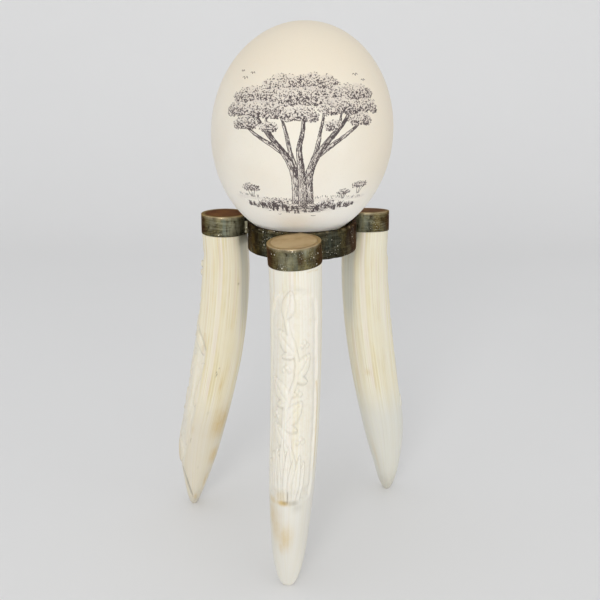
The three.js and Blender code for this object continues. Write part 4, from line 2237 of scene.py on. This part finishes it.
def build_egg() -> None:
    """Builds the inked egg."""
    Egg(bpy.data.objects["egg"]).build(InkedShell().make())


def build_holder() -> Ring:
    """Builds the ring and the three caps.

    Returns:
        The ring, with its measures.
    """
    # Brown is patina, and at the ends a painted reflection of a darker room; cool patches are the lamp's
    # painted reflection.
    ring_patches = (
        *rows(Patch, PatinaAndReflection.BROWN, (-72, 8, 5, 14, 0.3), (66, 9, 9, 14, 0.8), (180, 10, 30, 12, 0.5)),
        *rows(Patch, PatinaAndReflection.COOL, (-37, 10, 5, 9, 0.3), (33, 9, 9, 9, 0.3)),
    )
    ring = Ring(bpy.data.objects["ring"], ring_patches)
    ring.measure()
    # The ring's colours are darker than the bands': old brass with painted shade from the egg above.
    ring_look = AgedBrass(
        "ring_brass_and_shade", tint(24, 20, 12), tint(48, 42, 26), tint(86, 77, 48), bloom_share=0.15, pits_from=0.46
    )
    ring.build(ring_look.make())
    # Brown is patina, and at the ends a painted reflection of a darker room; cool patches are the lamp's
    # painted reflection and bright ones painted highlights.
    patches = {
        "front": (
            *rows(Patch, PatinaAndReflection.BROWN, (-66, 7, 8, 12), (14, 8, 2.6, 4, 1.0), (64, 8, 8, 12, 0.85)),
            *rows(
                Patch, PatinaAndReflection.BRIGHT,
                (-18, 9, 6, 8, 0.5), (26, 3, 2.2, 2.2, 0.8), (48, 8, 1.2, 8, 0.45),
            ),
            Patch(PatinaAndReflection.COOL, 2, 9, 5, 9, 0.55),
        ),
        "left": (
            *rows(Patch, PatinaAndReflection.BROWN, (-70, 7, 8, 12), (66, 10, 5, 10, 0.35)),
            *rows(Patch, PatinaAndReflection.BRIGHT, (-30, 5, 5, 5, 0.45), (33, 9, 7, 8, 1.0), (60, 6, 5, 8, 1.0)),
            Patch(PatinaAndReflection.COOL, 5, 7, 3.6, 10, 0.9),
        ),
        "right": (
            Patch(PatinaAndReflection.BRIGHT, -26, 7, 6, 6, 0.6),
            Patch(PatinaAndReflection.COOL, -10, 8, 6, 9, 0.6),
            *rows(Patch, PatinaAndReflection.BROWN, (30, 7, 3, 6, 0.6), (72, 8, 10, 12)),
        ),
    }
    # The plates' tan and brown are partly painted reflection: the side plates are browner as a painted
    # reflection of a darker room, and their bands' tops take less tan.
    tan = RubbedPlate("front_plate_brass", tint(180, 152, 110), tint(206, 182, 140)).make()
    worn = RubbedPlate("side_plate_brass_and_reflection", tint(98, 64, 38), tint(130, 90, 54), metal=0.85).make()
    turned = {"front": 0.1, "left": 0.3, "right": 0.2}
    for side, plate_look, bare in (("front", tan, 1.0), ("left", worn, 0.35), ("right", worn, 0.35)):
        look = AgedBrass(
            f"{side}_band_brass", tint(44, 34, 18), tint(88, 79, 48), tint(132, 123, 84), turned=turned[side]
        )
        cap = Cap(side, ring, patches[side], bare)
        cap.measure()
        cap.build_band(look.make())
        cap.build_plate(plate_look)
    return ring


def build_tusks() -> None:
    """Builds the three tusks."""
    front = (
        *rows(
            Stain, Tint.OCHRE,
            (60, -37, 13, 11, 0.5), (45, -3, 12.5, 7.5, 0.6), (37, -14, 8, 3.5, 0.5),
            (51, -24, 15, 8, 0.5), (75, -13, 5.5, 6.5, 0.5), (71.6, -9, 2.2, 5, 1),
            (71, -36, 3, 9, 0.55),
        ),
        Stain(Tint.UMBER, 72, -5, 2.2, 2.8, 0.45),
        # painted shadows: right of and below the ledge where the blades end, and under the panel's top edge
        *rows(Stain, Tint.GREY, (72, 13, 2.2, 5, 0.8), (68, 22, 4, 5, 0.45), (218, 16, 1.6, 6, 0.3)),
        Line(Tint.UMBER, ((0.5, 79.5), (0.5, 72)), 1.7, 0.25, 0.5),
        Line(Tint.OCHRE, ((63, 152), (67, 138), (66, 92)), 2.2, 0.1, 0.5),
        Line(Tint.OCHRE, ((38, 230), (52, 230.5), (68, 230)), 1.2, 0, 0.5),
        Line(Tint.OCHRE, ((-19, 222), (-20, 196), (-23, 160)), 1.2, 0, 0.25),
    )
    front_reach = ((0.31, -63, 61), (0.6, -61, 66), (0.84, -59, 65), (0.9, -45, 64), (0.97, -7, 63))
    left = (
        *rows(
            Stain, Tint.OCHRE,
            (81, 163, 16, 9, 0.7), (92, 146, 6, 5, 0.35), (71, 140, 4, 9, 0.25), (50, 168, 10, 6, 0.7),
            (25, 162, 9, 4, 0.6), (75, 84, 5, 3, 0.35), (48, 30, 13, 5, 0.5), (9, 118, 4, 5, 0.6),
            (116, 138, 7, 1.6, 0.5), (203, 150, 6, 2.6, 0.3),
        ),
        # grey at height 4: a painted darker reflection at the tip
        *rows(
            Stain, Tint.GREY,
            (4, 100, 13, 70, 0.4), (205, 168, 20, 5, 0.16), (92, 120, 2.4, 1.6, 0.4),
            (40, 118, 2, 1.6, 0.35),
        ),
        *rows(
            Stain, Tint.UMBER,
            (124, 121, 0.9, 1, 0.7), (132, 126, 1, 0.7, 0.6), (122, 133, 0.8, 0.9, 0.6),
            (133, 116, 0.7, 1, 0.5), (201, 150, 1.5, 1, 0.6),
        ),
        Line(Tint.OCHRE, ((72, 160), (77, 153), (79, 147)), 2.2, 0, 0.45),
        Line(Tint.UMBER, ((120, 129.5), (123.5, 126)), 1, 0.2, 0.8),
        # a cut face beside the tip, with painted shade on it
        Line(Tint.GREY, ((30, 38), (48, 34), (66, 27), (80, 19), (94, 12)), 3.8, 0.8, 1),
        Line(Tint.UMBER, ((50, 37.5), (72, 26), (88, 16.5), (102, 9)), 1.2, 0.3, 0.55),
        Line(Tint.UMBER, ((82, 67), (79, 61)), 0.9, 0.3, 0.5),
        # a shallow cut with a painted shadow beside the curl's ridge
        Line(Tint.GREY, ((33, 166), (47, 162.5), (57, 157.5), (69, 152.4), (79, 146.4)), 2.8, 0.4, 0.5),
        Line(Tint.GREY, ((70, 133.5), (76, 135), (84, 134)), 0.9, 0.1, 0.6),
    )
    left_reach = (
        (0.165, -52, 62), (0.3, -52, 80), (0.45, -52, 84), (0.6, -52, 86), (0.617, -52, 82), (0.642, -52, 72),
        (0.664, -52, 60), (0.685, -52, 50), (0.71, -52, 40), (0.93, -52, 42),
    )
    left_leaves = (
        Leaf(75, 142, -34, 26, 2.8, 1.9),
        Leaf(29, 204.5, 8, 5, 2.2, 3.0),
        Leaf(29, 211, -8, 5, 2.2, 3.2),
        Leaf(36, 41, -3, 24, 7, 1.7),
        Leaf(64, 60, -4, 30, 3.6),
        Leaf(70, 96, 6, 26, 3.4),
    )
    right = (
        # grey at height 6: a painted darker reflection at the tip
        *rows(
            Stain, Tint.GREY,
            (62, -131, 24, 8, 0.16), (6, -110, 15, 60, 0.5), (88, -128, 4, 3, 0.16),
        ),
        *rows(
            Stain, Tint.OCHRE,
            (120, -146, 4, 3, 0.45), (214, -112, 12, 3, 0.3), (36, -170, 22, 3, 0.3),
        ),
    )
    right_leaves = (Leaf(-42, 70, 2, 22, 4.0, 2.4),)
    plain = Ivory("front_ivory", pale=tint(235, 232, 220), chalk=tint(232, 227, 214), lining=0.7)
    warm = Ivory(
        "left_ivory",
        pale=tint(236, 229, 207),
        cream=tint(225, 210, 168),
        tip_polish_and_reflection=tint(210, 202, 186),
        lining=1.1,
    )
    cool = Ivory(
        "right_ivory",
        pale=tint(232, 227, 206),
        cream=tint(219, 208, 176),
        tip_polish_and_reflection=tint(209, 210, 206),
        hollow_tone_and_shade=tint(170, 182, 184),
    )
    for tusk, ivory in (
        (Tusk("front", front, (), (0.313, 0.955), front_reach, 0.15, seed=1), plain),
        (Tusk("left", left, left_leaves, (0.165, 0.955), left_reach, 0.2, lift=0.75 * MM, seed=4), warm),
        (Tusk("right", right, right_leaves, (0.335, 0.93), lift=0.65 * MM, seed=8), cool),
    ):
        tusk.build(ivory.make())


def main() -> None:
    """Builds the egg, its holder, its legs and the studio, and logs each piece's face count."""
    logging.basicConfig(level=logging.INFO, format="%(name)s: %(message)s")
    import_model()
    build_egg()
    ring = build_holder()
    build_tusks()
    studio = Studio()
    studio.build_floor(FloorPaint().make())
    studio.build_lamps()
    studio.build_camera(ring.middle)
    Bench.clear()


if __name__ == "__main__":
    main()
